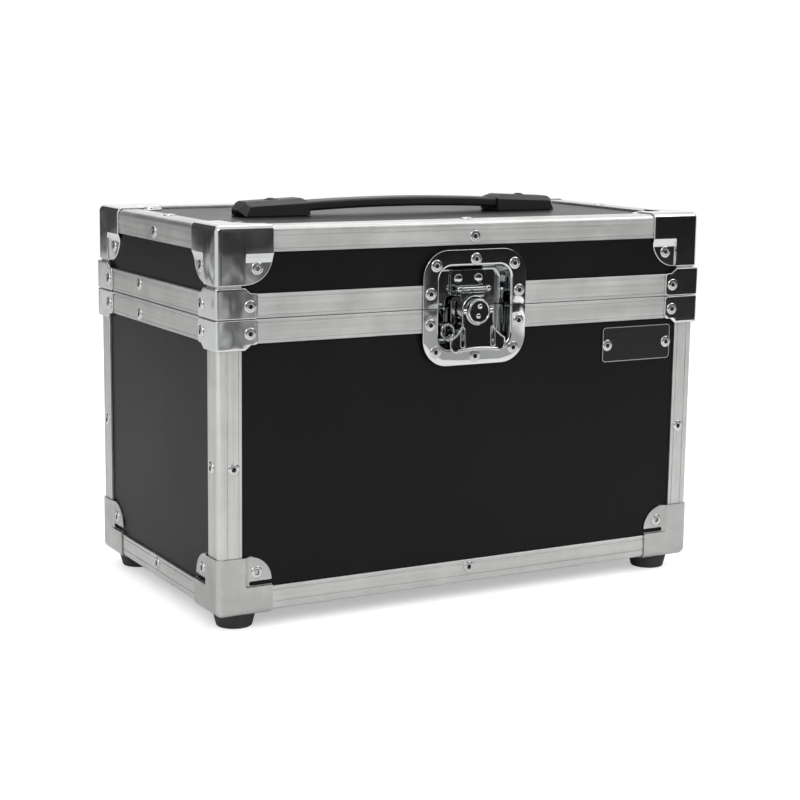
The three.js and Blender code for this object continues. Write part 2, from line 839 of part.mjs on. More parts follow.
function latchHook() {
  const camY = hubY - camThrow;
  const slotHalfX = camRadius + camThrow + camSideClearance;
  const slotHalfY = camRadius + camRiseClearance;
  const yokeHalf = slotHalfX + hookRail;
  const yoke = block(
    [hubX - yokeHalf, camY - slotHalfY - hookRail, hookBack],
    [hubX + yokeHalf, camY + slotHalfY + hookRail, hookFront],
  );
  const slot = block(
    [hubX - slotHalfX, camY - slotHalfY, hookBack - overrun],
    [hubX + slotHalfX, camY + slotHalfY, hookFront + overrun],
  );
  const arm = block(
    [hookX - hookArmWidth / 2, camY + slotHalfY, hookBack],
    [hookX + hookArmWidth / 2, hookBarY, hookFront],
  );
  const barZ = hookBack + hookBarRadius;
  const ballZ = barZ + hookBallRadius - hookBarRadius;
  const bar = rod('x', hookBarRadius, -hookBarLength / 2, hookBarLength / 2, roundSides / 2);
  const ball = solidOf(new THREE.SphereGeometry(hookBallRadius, roundSides / 2, roundSides / 3));
  const solid = joined([
    yoke.subtract(slot),
    arm,
    shifted(bar, hookX, hookBarY, barZ),
    shifted(ball, hookX - hookBarLength / 2, hookBarY, ballZ),
    shifted(ball, hookX + hookBarLength / 2, hookBarY, ballZ),
  ]);
  return moved(solid, latchPlace);
}

function latchKeeper() {
  const height = keeperTop - keeperBottom;
  const outline = roundedRect(keeperWidth, height, keeperCornerRadius);
  const back = plateBack;
  const plate = shifted(
    prism(outline, 'z', back, back + keeperThickness), 0, keeperBottom + height / 2, 0,
  );
  const ledge = block(
    [-hookArmWidth / 2, keeperLedgeY - keeperLedgeThickness / 2, back + keeperThickness / 2],
    [hookArmWidth / 2, keeperLedgeY + keeperLedgeThickness / 2, hookBack - runningGap],
  );
  return moved(plate.add(ledge), latchPlace);
}

function padlockEye() {
  const wallX = eyeX - eyeRadius;
  const footPlate = block(
    [wallX, eyeY - eyeFootHeight / 2, plateBack],
    [wallX + eyeFootWidth, eyeY + eyeFootHeight / 2, plateBack + eyeThickness],
  );
  const riser = block(
    [wallX, eyeY - eyeFootHeight / 2, plateBack],
    [wallX + eyeThickness, eyeY + eyeFootHeight / 2, eyeFace],
  );
  const arm = block(
    [wallX, eyeY - eyeFootHeight / 2, eyeFace - eyeThickness],
    [eyeX, eyeY + eyeFootHeight / 2, eyeFace],
  );
  const disc = shifted(rod('z', eyeRadius, eyeFace - eyeThickness, eyeFace), eyeX, eyeY, 0);
  const hole = rod('z', eyeHole, eyeFace - overrun / 2, eyeFace + overrun);
  const solid = joined([footPlate, riser, arm, disc]).subtract(shifted(hole, eyeX, eyeY, 0));
  return moved(solid, latchPlace);
}

// Leaf hinges: made round the hinge line with the leaf below, mirrored for the lid
function hingeLeaf(side) {
  const inner = -hingeOut + seatGap;
  const pitch = hingeWidth / hingeKnuckles;
  const plateTop = -hingeKnuckleRadius - runningGap;
  const plate = block(
    [-hingeWidth / 2, inner, -hingeLeafHeight],
    [hingeWidth / 2, inner + hingeLeafThickness, plateTop],
  );
  const own = side < 0 ? 0 : 1;
  const parts = [plate];
  for (let k = own; k < hingeKnuckles; k += 2) {
    const from = -hingeWidth / 2 + k * pitch + runningGap / 2;
    const to = from + pitch - runningGap;
    parts.push(rod('x', hingeKnuckleRadius, from, to, hingeSides));
    parts.push(block([from, inner, plateTop - seatGap], [to, inner + hingeLeafThickness, 0]));
  }
  const bore = rod('x', hingeBoreRadius, -hingeWidth, hingeWidth, hingeSides);
  return mirrored(joined(parts).subtract(bore), 1, 1, -side);
}

function hingePin() {
  const half = hingeWidth / 2;
  const head = rod('x', hingeKnuckleRadius - seatGap, half + seatGap, half + hingePinHead, hingeSides);
  const shank = rod('x', hingePinRadius, -half - hingePinHead, half + hingePinHead, hingeSides);
  return shank.add(head);
}

// Strap handle
function screwCover() {
  return prism(roundedRect(screwCoverLength, screwCoverWidth, screwCoverWidth / 2), 'z',
    -screwCoverDepth, overrun);
}

function insetCorners(corners, distance) {
  const points = corners.map(([x, y]) => new THREE.Vector2(x, y));
  const outward = points.map((point, k) => {
    const along = points[(k + 1) % points.length].clone().sub(point).normalize();
    return new THREE.Vector2(along.y, -along.x);
  });
  return points.map((point, k) => {
    const [before, after] = [outward[(k + points.length - 1) % points.length], outward[k]];
    const inward = before.clone().add(after).multiplyScalar(-distance / (1 + before.dot(after)));
    const corner = point.clone().add(inward);
    return [corner.x, corner.y];
  });
}

function handleCap() {
  const tip = handleLength / 2;
  const root = tip - handleCapLength;
  const bevel = handleCapBevel;
  const seatZ = panelTopZ + seatGap;
  const top = shellTop + handleCapTop;
  const outline = polygon(insetCorners([
    [root, seatZ],
    [tip - handleCapUndercut, seatZ],
    [tip, seatZ + handleNoseLift],
    [tip - handleCapSlope, top - handleCapFall],
    [root + handleCapPeak, top],
    [root, top - handleCapPeak],
  ], bevel));
  const options = {
    depth: handleCapWidth - 2 * bevel, bevelThickness: bevel, bevelSize: bevel, bevelSegments: 2,
  };
  const geometry = new THREE.ExtrudeGeometry(outline, options);
  geometry.translate(0, 0, bevel - handleCapWidth / 2);
  const half = handleCapWidth / 2;
  const nose = prism(polygon([
    [root - overrun, -half], [tip - handleNoseLength, -half], [tip, -handleNoseHalf],
    [tip, handleNoseHalf], [tip - handleNoseLength, half], [root - overrun, half],
  ]), 'z', seatZ - overrun, top + overrun);
  const body = moved(solidOf(geometry), prismAxes.y).intersect(nose);
  const cover = shifted(screwCover(), tip - screwCoverFromTip, 0, top - handleCapFall / 2);
  return body.subtract(cover).subtract(strapTunnel());
}

function strapOutline(grow) {
  const half = handleLength / 2 - handleCapLength + strapEntry + grow;
  const base = panelTopZ + seatGap + strapEndLift - grow;
  const thick = strapThickness + 2 * grow - 2 * strapBevel;
  const low = base + strapBevel;
  const shape = new THREE.Shape();
  shape.moveTo(-half, low);
  shape.quadraticCurveTo(0, low + 2 * strapRise, half, low);
  shape.lineTo(half, low + thick);
  shape.quadraticCurveTo(0, low + thick + 2 * strapRise, -half, low + thick);
  return shape;
}

function bentStrap(grow, steps) {
  const width = strapWidth + 2 * grow;
  const options = {
    depth: width - 2 * strapBevel,
    bevelThickness: strapBevel,
    bevelSize: strapBevel,
    bevelSegments: 2,
    curveSegments: steps,
  };
  const geometry = new THREE.ExtrudeGeometry(strapOutline(grow), options);
  geometry.translate(0, 0, strapBevel - width / 2);
  return moved(solidOf(geometry), prismAxes.y);
}

function strapTunnel() {
  return bentStrap(2 * seatGap, 2 * arcSteps);
}

function strap() {
  return bentStrap(0, 2 * arcSteps);
}

// Foam inside the body and under the lid
function foamPlan() {
  const inset = panelDeep + foamClearance;
  return [halfWidth - inset, halfDepth - inset];
}

function floorPad() {
  const [halfX, halfY] = foamPlan();
  const low = bodyWallBottom + foamClearance;
  return block([-halfX, -halfY, low], [halfX, halfY, low + floorPadThickness]);
}

function foamBlock() {
  const [halfX, halfY] = foamPlan();
  const low = bodyWallBottom + 2 * foamClearance + floorPadThickness;
  const high = jointZ - foamBlockTop;
  let solid = block([-halfX, -halfY, low], [halfX, halfY, high]);
  const pocket = rod('z', pocketRadius, low - overrun, high + overrun, pocketSides);
  for (let column = 0; column < pocketColumns; column += 1) {
    for (let row = 0; row < pocketRows; row += 1) {
      const x = (column - (pocketColumns - 1) / 2) * pocketPitchX;
      const y = (row - (pocketRows - 1) / 2) * pocketPitchY;
      solid = solid.subtract(shifted(pocket, x, y, 0));
    }
  }
  const notch = block(
    [-foamLatchNotch, -halfY - overrun, jointZ - dishDrop],
    [foamLatchNotch, -flangeFront + dishDepth + dishFlange + foamClearance, high + overrun],
  );
  return solid.subtract(notch);
}

function lidPad() {
  const [halfX, halfY] = foamPlan();
  const high = lidWallTop - foamClearance;
  return block([-halfX, -halfY, high - lidPadThickness], [halfX, halfY, high]);
}

// The body of the case
function buildBody() {
  const group = new THREE.Group();
  const opening = dishOpening();
  const front = frontPanel(bodyWallBottom, bodyWallTop);
  const side = sidePanel(bodyWallBottom, bodyWallTop);
  addPiece(group, 'body_front_panel', front.subtract(opening), laminate());
  addPiece(group, 'body_back_panel', mirrored(front, 1, -1), laminate());
  addPiece(group, 'body_left_panel', side, laminate());
  addPiece(group, 'body_right_panel', mirrored(side, -1, 1), laminate());
  const floorLow = shellBottom + panelInset;
  addPiece(group, 'body_bottom_panel', flatPanel(floorLow, floorLow + panelThickness), laminate());
  addPiece(group, 'bottom_edge_frame', bottomEdgeFrame(), aluminium());
  addPiece(group, 'body_rim', bodyRim().subtract(opening), aluminium());
  const post = cornerPost(shellBottom + angleLeg + seatGap, jointZ - rimHeight - seatGap);
  const bracket = rimBracket(-1);
  const cap = bottomCap();
  for (const { name, sideX, sideY } of corners) {
    addPiece(group, `corner_post_${name}`, mirrored(post, sideX, sideY), aluminium());
    addPiece(group, `bottom_cap_${name}`, mirrored(cap, sideX, sideY), satinSteel());
    addPiece(group, `body_bracket_${name}`, mirrored(bracket, sideX, sideY), chrome());
    addPiece(group, `foot_${name}`, mirrored(foot(), sideX, sideY), rubber());
  }
  addPiece(group, 'latch_dish_lower', dishHalf(-1), chrome());
  addPiece(group, 'latch_base_plate', basePlate(), chrome());
  addPiece(group, 'padlock_eye', padlockEye(), chrome());
  for (const [name, x] of [['left', -hingeX], ['right', hingeX]]) {
    addPiece(group, `hinge_lower_leaf_${name}`, shifted(hingeLeaf(-1), x, hingeAxisY, jointZ), satinSteel());
    addPiece(group, `hinge_pin_${name}`, shifted(hingePin(), x, hingeAxisY, jointZ), satinSteel());
  }
  addPiece(group, 'foam_floor_pad', floorPad(), foam());
  addPiece(group, 'foam_block', foamBlock(), foam());
  return group;
}

// The lid and what it carries
function buildLid() {
  const group = new THREE.Group();
  const opening = dishOpening();
  const front = frontPanel(lidWallBottom, lidWallTop);
  const side = sidePanel(lidWallBottom, lidWallTop);
  const topPanel = flatPanel(panelTopZ, panelTopZ - panelThickness);
  addPiece(group, 'lid_top_panel', topPanel, laminate());
  addPiece(group, 'lid_front_panel', front.subtract(opening), laminate());
  addPiece(group, 'lid_back_panel', mirrored(front, 1, -1), laminate());
  addPiece(group, 'lid_left_panel', side, laminate());
  addPiece(group, 'lid_right_panel', mirrored(side, -1, 1), laminate());
  addPiece(group, 'lid_edge_frame', lidEdgeFrame(), aluminium());
  addPiece(group, 'lid_rim', lidRim().subtract(opening), aluminium());
  const bracket = rimBracket(1);
  const cap = topCap();
  for (const { name, sideX, sideY } of corners) {
    addPiece(group, `top_cap_${name}`, mirrored(cap, sideX, sideY), chrome());
    addPiece(group, `lid_bracket_${name}`, mirrored(bracket, sideX, sideY), chrome());
  }
  addPiece(group, 'latch_dish_upper', dishHalf(1), chrome());
  addPiece(group, 'latch_keeper', latchKeeper(), chrome());
  for (const [name, x] of [['left', -hingeX], ['right', hingeX]]) {
    addPiece(group, `hinge_upper_leaf_${name}`, shifted(hingeLeaf(1), x, hingeAxisY, jointZ), satinSteel());
  }
  addPiece(group, 'handle_strap', strap(), handlePlastic());
  addPiece(group, 'handle_cap_left', mirrored(handleCap(), -1, 1), handlePlastic());
  addPiece(group, 'handle_cap_right', handleCap(), handlePlastic());
  addPiece(group, 'lid_foam_pad', lidPad(), foam());
  return group;
}

// The moving pieces of the latch
function buildLatch() {
  const group = new THREE.Group();
  addPiece(group, 'latch_hub', latchHub(), chrome());
  addPiece(group, 'latch_wing_pin', wingPin(), chrome());
  addPiece(group, 'latch_wing', latchWing(), chrome());
  addPiece(group, 'latch_hook', latchHook(), chrome());
  return group;
}

const microphoneCase = new THREE.Group();
microphoneCase.add(buildBody(), buildLid(), buildLatch());
microphoneCase.position.y = (frontReach - backReach) / 2;

export default microphoneCase;
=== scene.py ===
import math
from contextlib import contextmanager

import bmesh
import bpy
from mathutils import Matrix, Vector


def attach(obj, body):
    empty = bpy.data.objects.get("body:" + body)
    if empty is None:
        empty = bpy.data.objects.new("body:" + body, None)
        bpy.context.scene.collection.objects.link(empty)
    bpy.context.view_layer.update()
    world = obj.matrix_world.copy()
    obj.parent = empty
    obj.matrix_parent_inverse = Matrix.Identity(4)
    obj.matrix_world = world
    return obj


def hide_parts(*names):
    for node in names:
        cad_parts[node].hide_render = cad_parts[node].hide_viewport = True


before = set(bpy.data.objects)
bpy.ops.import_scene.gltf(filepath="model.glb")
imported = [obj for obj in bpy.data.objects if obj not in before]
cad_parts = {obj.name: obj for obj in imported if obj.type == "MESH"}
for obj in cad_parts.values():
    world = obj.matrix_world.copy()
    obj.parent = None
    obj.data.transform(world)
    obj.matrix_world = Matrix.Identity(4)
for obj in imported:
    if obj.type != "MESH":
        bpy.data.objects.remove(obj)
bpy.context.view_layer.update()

mm = 0.001

# Places shared by the pieces, in millimetres; x across the front, y to the back, z up
shell = {
    "halfWidth": 199.5, "halfDepth": 111.5, "bottom": 12.4, "top": 278.9, "joint": 216.8,
    "shiftY": 1.35, "seatGap": 0.2, "jointGap": 0.6, "sheet": 1.0, "sheetOut": 1.2,
    "merge": 0.002,
}
corners = [("FrontLeft", "front_left", -1, -1), ("FrontRight", "front_right", 1, -1),
           ("RearLeft", "rear_left", -1, 1), ("RearRight", "rear_right", 1, 1)]
caseBody, lidBody = "case body", "lid"


# Small makers for nodes, meshes and objects

def fillNode(tree, node, values):
    for key, value in values.items():
        if isinstance(value, bpy.types.NodeSocket):
            tree.links.new(value, node.inputs[key])
        else:
            node.inputs[key].default_value = value
    return node


def makeNode(tree, kind, values=None, **settings):
    node = tree.nodes.new(kind)
    for key, value in settings.items():
        setattr(node, key, value)
    return fillNode(tree, node, values or {})


def mathNode(tree, operation, first, second=0.0):
    values = {0: first, 1: second}
    return makeNode(tree, "ShaderNodeMath", values, operation=operation).outputs[0]


def product(tree, first, second):
    return mathNode(tree, "MULTIPLY", first, second)


def weighed(tree, first, share, second, otherShare):
    return mathNode(tree, "ADD", product(tree, first, share), product(tree, second, otherShare))


def noiseNode(tree, coordinates, scale, detail=4.0, roughness=0.5, stretch=(1, 1, 1)):
    spread = makeNode(tree, "ShaderNodeMapping", {"Vector": coordinates, "Scale": stretch})
    return makeNode(tree, "ShaderNodeTexNoise", {
        "Vector": spread.outputs[0], "Scale": scale, "Detail": detail, "Roughness": roughness,
    }).outputs[0]


def rangeNode(tree, value, low, high, toLow, toHigh):
    return makeNode(tree, "ShaderNodeMapRange", {
        "Value": value, "From Min": low, "From Max": high, "To Min": toLow, "To Max": toHigh,
    }).outputs[0]


def colorBetween(tree, factor, dark, light):
    values = {0: factor, 6: (*dark, 1), 7: (*light, 1)}
    return makeNode(tree, "ShaderNodeMix", values, data_type="RGBA").outputs[2]


def bumpNode(tree, height, strength, distance, **under):
    values = {"Height": height, "Strength": strength, "Distance": distance, **under}
    return makeNode(tree, "ShaderNodeBump", values).outputs[0]


def objectCoordinates(tree):
    return makeNode(tree, "ShaderNodeTexCoord").outputs["Object"]


def coordinate(tree, where, axis):
    return makeNode(tree, "ShaderNodeSeparateXYZ", {0: where}).outputs["XYZ".index(axis)]


def makeMaterial(name, color, metallic, roughness):
    material = bpy.data.materials.new(name)
    material.use_nodes = True
    material.diffuse_color = (*color, 1)
    tree = material.node_tree
    shader = fillNode(tree, tree.nodes["Principled BSDF"], {
        "Base Color": (*color, 1), "Metallic": metallic, "Roughness": roughness,
    })
    return material, tree, shader


def rawMesh(name, verts, faces):
    mesh = bpy.data.meshes.new(name)
    mesh.from_pydata([(x * mm, (y + shell["shiftY"]) * mm, z * mm) for x, y, z in verts],
                     [], faces)
    return mesh


@contextmanager
def editing(mesh):
    work = bmesh.new()
    work.from_mesh(mesh)
    yield work
    work.to_mesh(mesh)
    work.free()


def makeObject(name, data, material=None):
    piece = bpy.data.objects.new(name, data)
    bpy.context.scene.collection.objects.link(piece)
    if material:
        data.materials.append(material)
    return piece


def solidPiece(name, verts, faces):
    mesh = rawMesh(name, verts, faces)
    with editing(mesh) as work:
        bmesh.ops.remove_doubles(work, verts=work.verts, dist=shell["merge"] * mm)
        bmesh.ops.dissolve_degenerate(work, dist=1e-7, edges=work.edges)
        loose = [v for v in work.verts if not v.link_faces]
        bmesh.ops.delete(work, geom=loose, context="VERTS")
        bmesh.ops.recalc_face_normals(work, faces=work.faces)
    return makeObject(name, mesh)


def baked(piece):
    graph = bpy.context.evaluated_depsgraph_get()
    graph.update()
    mesh = bpy.data.meshes.new_from_object(piece.evaluated_get(graph))
    piece.modifiers.clear()
    piece.data = mesh
    return piece


def modified(piece, kind, **settings):
    modifier = piece.modifiers.new("change", kind)
    for key, value in settings.items():
        setattr(modifier, key, value)
    return baked(piece)


def bevelled(piece, width, segments=2, angle=40):
    return modified(piece, "BEVEL", width=width * mm, segments=segments, limit_method="ANGLE",
                    angle_limit=math.radians(angle), harden_normals=False)


def thickened(piece, thickness):
    return modified(piece, "SOLIDIFY", thickness=thickness * mm, offset=-1,
                    use_even_offset=True)


def cutBy(piece, cutters):
    for cutter in cutters:
        modified(piece, "BOOLEAN", object=cutter, operation="DIFFERENCE", solver="EXACT")
        bpy.data.objects.remove(cutter)
    return piece


def smoothed(piece, angle=40):
    piece.data.shade_smooth()
    piece.data.set_sharp_from_angle(angle=math.radians(angle))
    return modified(piece, "WEIGHTED_NORMAL", keep_sharp=True, weight=70)  # flats stay flat


def joinedPieces(name, parts):
    mesh = bpy.data.meshes.new(name)
    with editing(mesh) as work:
        for part in parts:
            work.from_mesh(part.data)
            bpy.data.objects.remove(part)
    return makeObject(name, mesh)


def mirroredCopy(piece, name, sideX, sideY):
    mesh = piece.data.copy()
    mesh.name = name
    shift = Matrix.Translation((0, shell["shiftY"] * mm, 0))
    turn = Matrix.Diagonal((-sideX, -sideY, 1, 1))  # the pattern piece is the front left one
    mesh.transform(shift @ turn @ shift.inverted())
    if sideX * sideY < 0:
        mesh.flip_normals()
    return makeObject(name, mesh)


def placed(piece, body, replaced=(), material=None):
    if material:
        piece.data.materials.clear()
        piece.data.materials.append(material)
    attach(piece, body)
    if replaced:
        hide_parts(*replaced)
    return piece


# Makers for the shapes that come back

def gridFaces(rows, width, start=0, ring=False, loop=False):
    # Quads between rows of points; ring closes each row, loop joins the last row to the first
    faces = []
    for r in range(rows if loop else rows - 1):
        here, after = start + r * width, start + (r + 1) % rows * width
        for k in range(width if ring else width - 1):
            m = (k + 1) % width
            faces.append((here + k, here + m, after + m, after + k))
    return faces


def endFaces(width, total):
    return [tuple(range(width)), tuple(range(total - width, total))]


def turns(degrees, first, last):
    return [math.radians(degrees * k) for k in range(first, last + 1)]


def arcPoints(cx, cy, radius, start, end, steps):
    angles = [math.radians(start + (end - start) * k / steps) for k in range(steps + 1)]
    return [(cx + radius * math.cos(t), cy + radius * math.sin(t)) for t in angles]


def roundedRect(width, height, radius, steps=8, cx=0.0, cy=0.0):
    x, y = width / 2 - radius, height / 2 - radius
    points = []
    for sx, sy, start in ((1, 1, 0), (-1, 1, 90), (-1, -1, 180), (1, -1, 270)):
        points += arcPoints(cx + sx * x, cy + sy * y, radius, start, start + 90, steps)
    return points


def stadium(length, width, cx, cy, upright=False, steps=10):
    half = length / 2 - width / 2
    x, y, start = (0, half, 0) if upright else (half, 0, -90)
    return (arcPoints(cx + x, cy + y, width / 2, start, start + 180, steps)
            + arcPoints(cx - x, cy - y, width / 2, start + 180, start + 360, steps))


def asDrawn(a, b, c):
    return a, b, c


def onFront(a, b, c):
    return a, c, b


def prismPiece(name, outline, low, high, place):
    count = len(outline)
    verts = [place(a, b, c) for c in (low, high) for a, b in outline]
    faces = [tuple(range(count)), tuple(range(2 * count - 1, count - 1, -1))]
    return solidPiece(name, verts, faces + gridFaces(2, count, ring=True))


def blockPiece(name, low, high, place):
    outline = [(low[0], low[1]), (high[0], low[1]), (high[0], high[1]), (low[0], high[1])]
    return prismPiece(name, outline, low[2], high[2], place)


def lathePiece(name, profile, centre, axis="z", segments=32):
    verts = []
    for radius, along in profile:
        for k in range(segments):
            turn = 2 * math.pi * k / segments
            a, b = radius * math.cos(turn), radius * math.sin(turn)
            point = {"x": (along, a, b), "y": (b, along, a), "z": (a, b, along)}[axis]
            verts.append(tuple(c + p for c, p in zip(centre, point)))
    return solidPiece(name, verts, gridFaces(len(profile), segments, ring=True))


def barPiece(name, centre, ends, radius, edge, segments=32):
    # A round bar along x whose ends are cut in by edge: how far inwards and how far along
    (low, high), (inward, along) = ends, edge
    profile = [(0.0, low), (radius - inward, low), (radius, low + along),
               (radius, high - along), (radius - inward, high), (0.0, high)]
    return lathePiece(name, profile, centre, "x", segments)


print("stage: camera, floor and light")

cameraView = {
    "lens": 80.59, "sensor": 36, "place": (-0.6729, -1.1964, 0.3700),
    "yaw": 0.5139, "pitch": 0.1720, "roll": 0.0130,
}


def makeCamera():
    yaw, pitch, roll = cameraView["yaw"], cameraView["pitch"], cameraView["roll"]
    forward = Vector((math.sin(yaw) * math.cos(pitch), math.cos(yaw) * math.cos(pitch),
                      -math.sin(pitch)))
    level = Vector((math.cos(yaw), -math.sin(yaw), 0))
    upward = level.cross(forward)
    right = math.cos(roll) * level + math.sin(roll) * upward
    up = -math.sin(roll) * level + math.cos(roll) * upward
    data = bpy.data.cameras.new("photoCamera")
    data.lens = cameraView["lens"]
    data.sensor_width = cameraView["sensor"]
    camera = makeObject("photoCamera", data)
    turn = Matrix((right, up, -forward)).transposed()
    camera.matrix_world = Matrix.Translation(cameraView["place"]) @ turn.to_4x4()
    bpy.context.scene.camera = camera


# Places here are in metres
studio = {
    "tableEdge": [(-2.2, -1.28), (1.1, -1.28), (2.2, -0.9), (2.2, 1.62), (-2.2, 1.62)],
    "tableColor": (0.66, 0.66, 0.66), "tableGlow": 0.42, "tableSpecular": 0.2,
    "card": [(0.55, -1.60), (1.08, -1.60), (1.08, -0.95), (0.55, -0.95)], "cardLift": 0.002,
    "cardTurn": (0.80, 1.05), "cardShades": (0.24, 0.80),
    "flags": [[(-2.0, -1.50), (-1.0, -1.66), (0.9, -1.66), (1.9, -1.45), (2.6, -0.5)],
              [(-2.3, 1.0), (-1.35, 1.72), (-0.1, 1.95)]],
    "flagRise": (-1.2, 1.9), "flagShade": 0.50, "flagTurn": (0.50, 0.86, 1, 0.03),
    "flagFade": (0.0, 0.13, 1, 0.12), "foldScale": 15, "foldDepth": (0.36, 0.64, 0.25, 1.35),
    "ambient": 1.12, "lampAim": (0, 0, 0.15),
    "lamps": [("keySoftbox", (-1.5, -1.5, 1.7), 1.1, 21),  # name, place, size, power
              ("fillSoftbox", (1.7, -0.9, 1.9), 1.2, 10),
              ("frontSoftbox", (0.9, -1.9, 1.3), 0.9, 15),
              ("topSoftbox", (0.1, 0.7, 2.0), 1.4, 8)],
}


def stagePiece(name, verts, faces, material):
    mesh = bpy.data.meshes.new(name)
    mesh.from_pydata(verts, [], faces)
    return makeObject(name, mesh, material)


def flatPiece(name, outline, height, material):
    verts = [(x, y, height) for x, y in outline]
    return stagePiece(name, verts, [tuple(range(len(outline)))], material)


def makeTable():
    material, tree, shader = makeMaterial("whiteTable", studio["tableColor"], 0.0, 0.55)
    shader.inputs["Specular IOR Level"].default_value = studio["tableSpecular"]
    seen = makeNode(tree, "ShaderNodeLightPath").outputs["Is Camera Ray"]
    glow = makeNode(tree, "ShaderNodeEmission", {
        "Color": (1, 1, 1, 1), "Strength": product(tree, seen, studio["tableGlow"]),
    })
    both = makeNode(tree, "ShaderNodeAddShader", {0: shader.outputs[0], 1: glow.outputs[0]})
    tree.links.new(both.outputs[0], tree.nodes["Material Output"].inputs["Surface"])
    flatPiece("table", studio["tableEdge"], 0, material)


def makeCard():
    # A grey card on the table, lighter towards +x: a painted light gradient for the chrome to
    # reflect
    material, tree, shader = makeMaterial("greyCard", (0.5, 0.5, 0.5), 0.0, 0.9)
    across = coordinate(tree, objectCoordinates(tree), "X")
    fillNode(tree, shader, {
        "Base Color": rangeNode(tree, across, *studio["cardTurn"], *studio["cardShades"]),
    })
    flatPiece("greyCard", studio["card"], studio["cardLift"], material)


def makeFlags():
    # Dark cloths stand beyond the table's edges, where only gloss shows them: painted reflection
    # of a darker room.
    # They turn from grey to black towards the right and upwards, and their folds are only painted
    # shade on flat sheets.
    material, tree, shader = makeMaterial("darkCloth", (0.1, 0.1, 0.1), 0.0, 0.9)
    where = objectCoordinates(tree)
    shade = product(tree, rangeNode(tree, coordinate(tree, where, "X"), *studio["flagTurn"]),
                    rangeNode(tree, coordinate(tree, where, "Z"), *studio["flagFade"]))
    # painted shade of folds on a flat sheet
    paintedFolds = rangeNode(tree, noiseNode(tree, where, studio["foldScale"], 3, 0.5, (1, 1, 0.25)),
                      *studio["foldDepth"])
    shade = product(tree, product(tree, shade, paintedFolds), studio["flagShade"])
    fillNode(tree, shader, {"Base Color": shade})
    for number, path in enumerate(studio["flags"]):
        verts = [(x, y, z) for x, y in path for z in studio["flagRise"]]
        faces = [(2 * k, 2 * k + 2, 2 * k + 3, 2 * k + 1) for k in range(len(path) - 1)]
        flag = stagePiece(f"blackFlag{number}", verts, faces, material)
        flag.visible_camera = flag.visible_shadow = flag.visible_diffuse = False


def makeLight():
    world = bpy.data.worlds.new("studio")
    bpy.context.scene.world = world
    world.use_nodes = True
    tree = world.node_tree
    ray = makeNode(tree, "ShaderNodeLightPath").outputs
    seen = mathNode(tree, "MAXIMUM", ray["Is Camera Ray"], ray["Is Glossy Ray"])
    white = mathNode(tree, "MAXIMUM", seen, ray["Is Transmission Ray"])
    fillNode(tree, tree.nodes["Background"], {
        "Color": (1, 1, 1, 1),
        "Strength": rangeNode(tree, white, 0.0, 1.0, studio["ambient"], 1.0),
    })
    for name, place, size, power in studio["lamps"]:
        data = bpy.data.lights.new(name, "AREA")
        data.shape = "SQUARE"
        data.size = size
        data.energy = power
        light = makeObject(name, data)
        light.location = place
        aim = Vector(studio["lampAim"]) - Vector(place)
        light.rotation_euler = aim.to_track_quat("-Z", "Y").to_euler()


makeCamera()
makeTable()
makeCard()
makeFlags()
makeLight()
bpy.context.scene.view_settings.view_transform = "Standard"


print("stage: finishes")

laminateLook = {
    "color": (0.0036, 0.0036, 0.0037), "roughness": (0.28, 0.38), "specular": 0.12,
    "cloudScale": 9, "streakScale": 26, "streakStretch": (1.0, 1.0, 0.12), "clouds": 0.6,
    "streaks": 0.4, "tint": (0.25, 0.75, 0.0, 0.55), "dustScale": 420,
    "dusty": (0.68, 0.80, 0.0, 1.0), "dust": 0.35, "lighter": 1.9, "pebbleScale": 1500,
    "pebbleBump": (0.10, 0.0002),
}
aluminiumLook = {
    "color": (0.67, 0.67, 0.66), "roughness": (0.36, 0.54), "dieLines": 430, "along": 5,
    "cloudScale": 38, "lines": 0.55, "clouds": 0.45, "dark": 0.76, "light": 1.12,
    "lineBump": (0.06, 0.00005), "sideFrom": 0.1822,
}
platedLooks = {
    "brightChrome": {"color": (0.64, 0.65, 0.655), "roughness": (0.02, 0.08),
                     "smudgeScale": 16.0, "wave": 0.16, "hairlines": 0.0},
    # darker chrome for the latch's recess and the parts in it: painted shade
    "recessChrome": {"color": (0.46, 0.47, 0.475), "roughness": (0.03, 0.08),
                     "smudgeScale": 16.0, "wave": 0.10, "hairlines": 0.0},
    # lighter than the chrome faces: a painted highlight on the sheets' round rims
    "rolledRims": {"color": (0.74, 0.74, 0.73), "roughness": (0.26, 0.38),
                   "smudgeScale": 90.0, "wave": 0.0, "hairlines": 0.05},
    "satinSteel": {"color": (0.52, 0.52, 0.51), "roughness": (0.24, 0.42),
                   "smudgeScale": 34.0, "wave": 0.05, "hairlines": 0.12},
    "rivetNickel": {"color": (0.66, 0.66, 0.65), "roughness": (0.14, 0.30),
                    "smudgeScale": 120.0, "wave": 0.0, "hairlines": 0.05},
}
plating = {
    "light": 1.04, "dark": 0.82, "smudges": 0.75, "hairs": 0.25, "hairScale": 520,
    "hairStretch": (1.0, 0.25, 0.18), "hairDepth": 0.00006, "waveScale": 70,
    "waveDepth": 0.0006,
}
plateLook = {
    "color": (0.006, 0.006, 0.006), "dark": (0.004, 0.004, 0.004),
    "light": (0.011, 0.011, 0.011), "roughness": (0.28, 0.44), "grain": (30, 900, 900),
    "grainBump": (0.05, 0.00005),
}
rubberLook = {
    "color": (0.011, 0.011, 0.011), "roughness": (0.60, 0.85), "cloudScale": 60,
    "lighter": 2.2, "grainScale": 1200, "grainBump": (0.2, 0.0002),
}
handleLook = {
    "color": (0.0048, 0.0053, 0.0051), "roughness": (0.34, 0.46), "rubbedScale": 30,
    "cellScale": 1500.0, "dark": 0.8, "light": 1.6, "cellBump": (0.22, 0.0002),
}
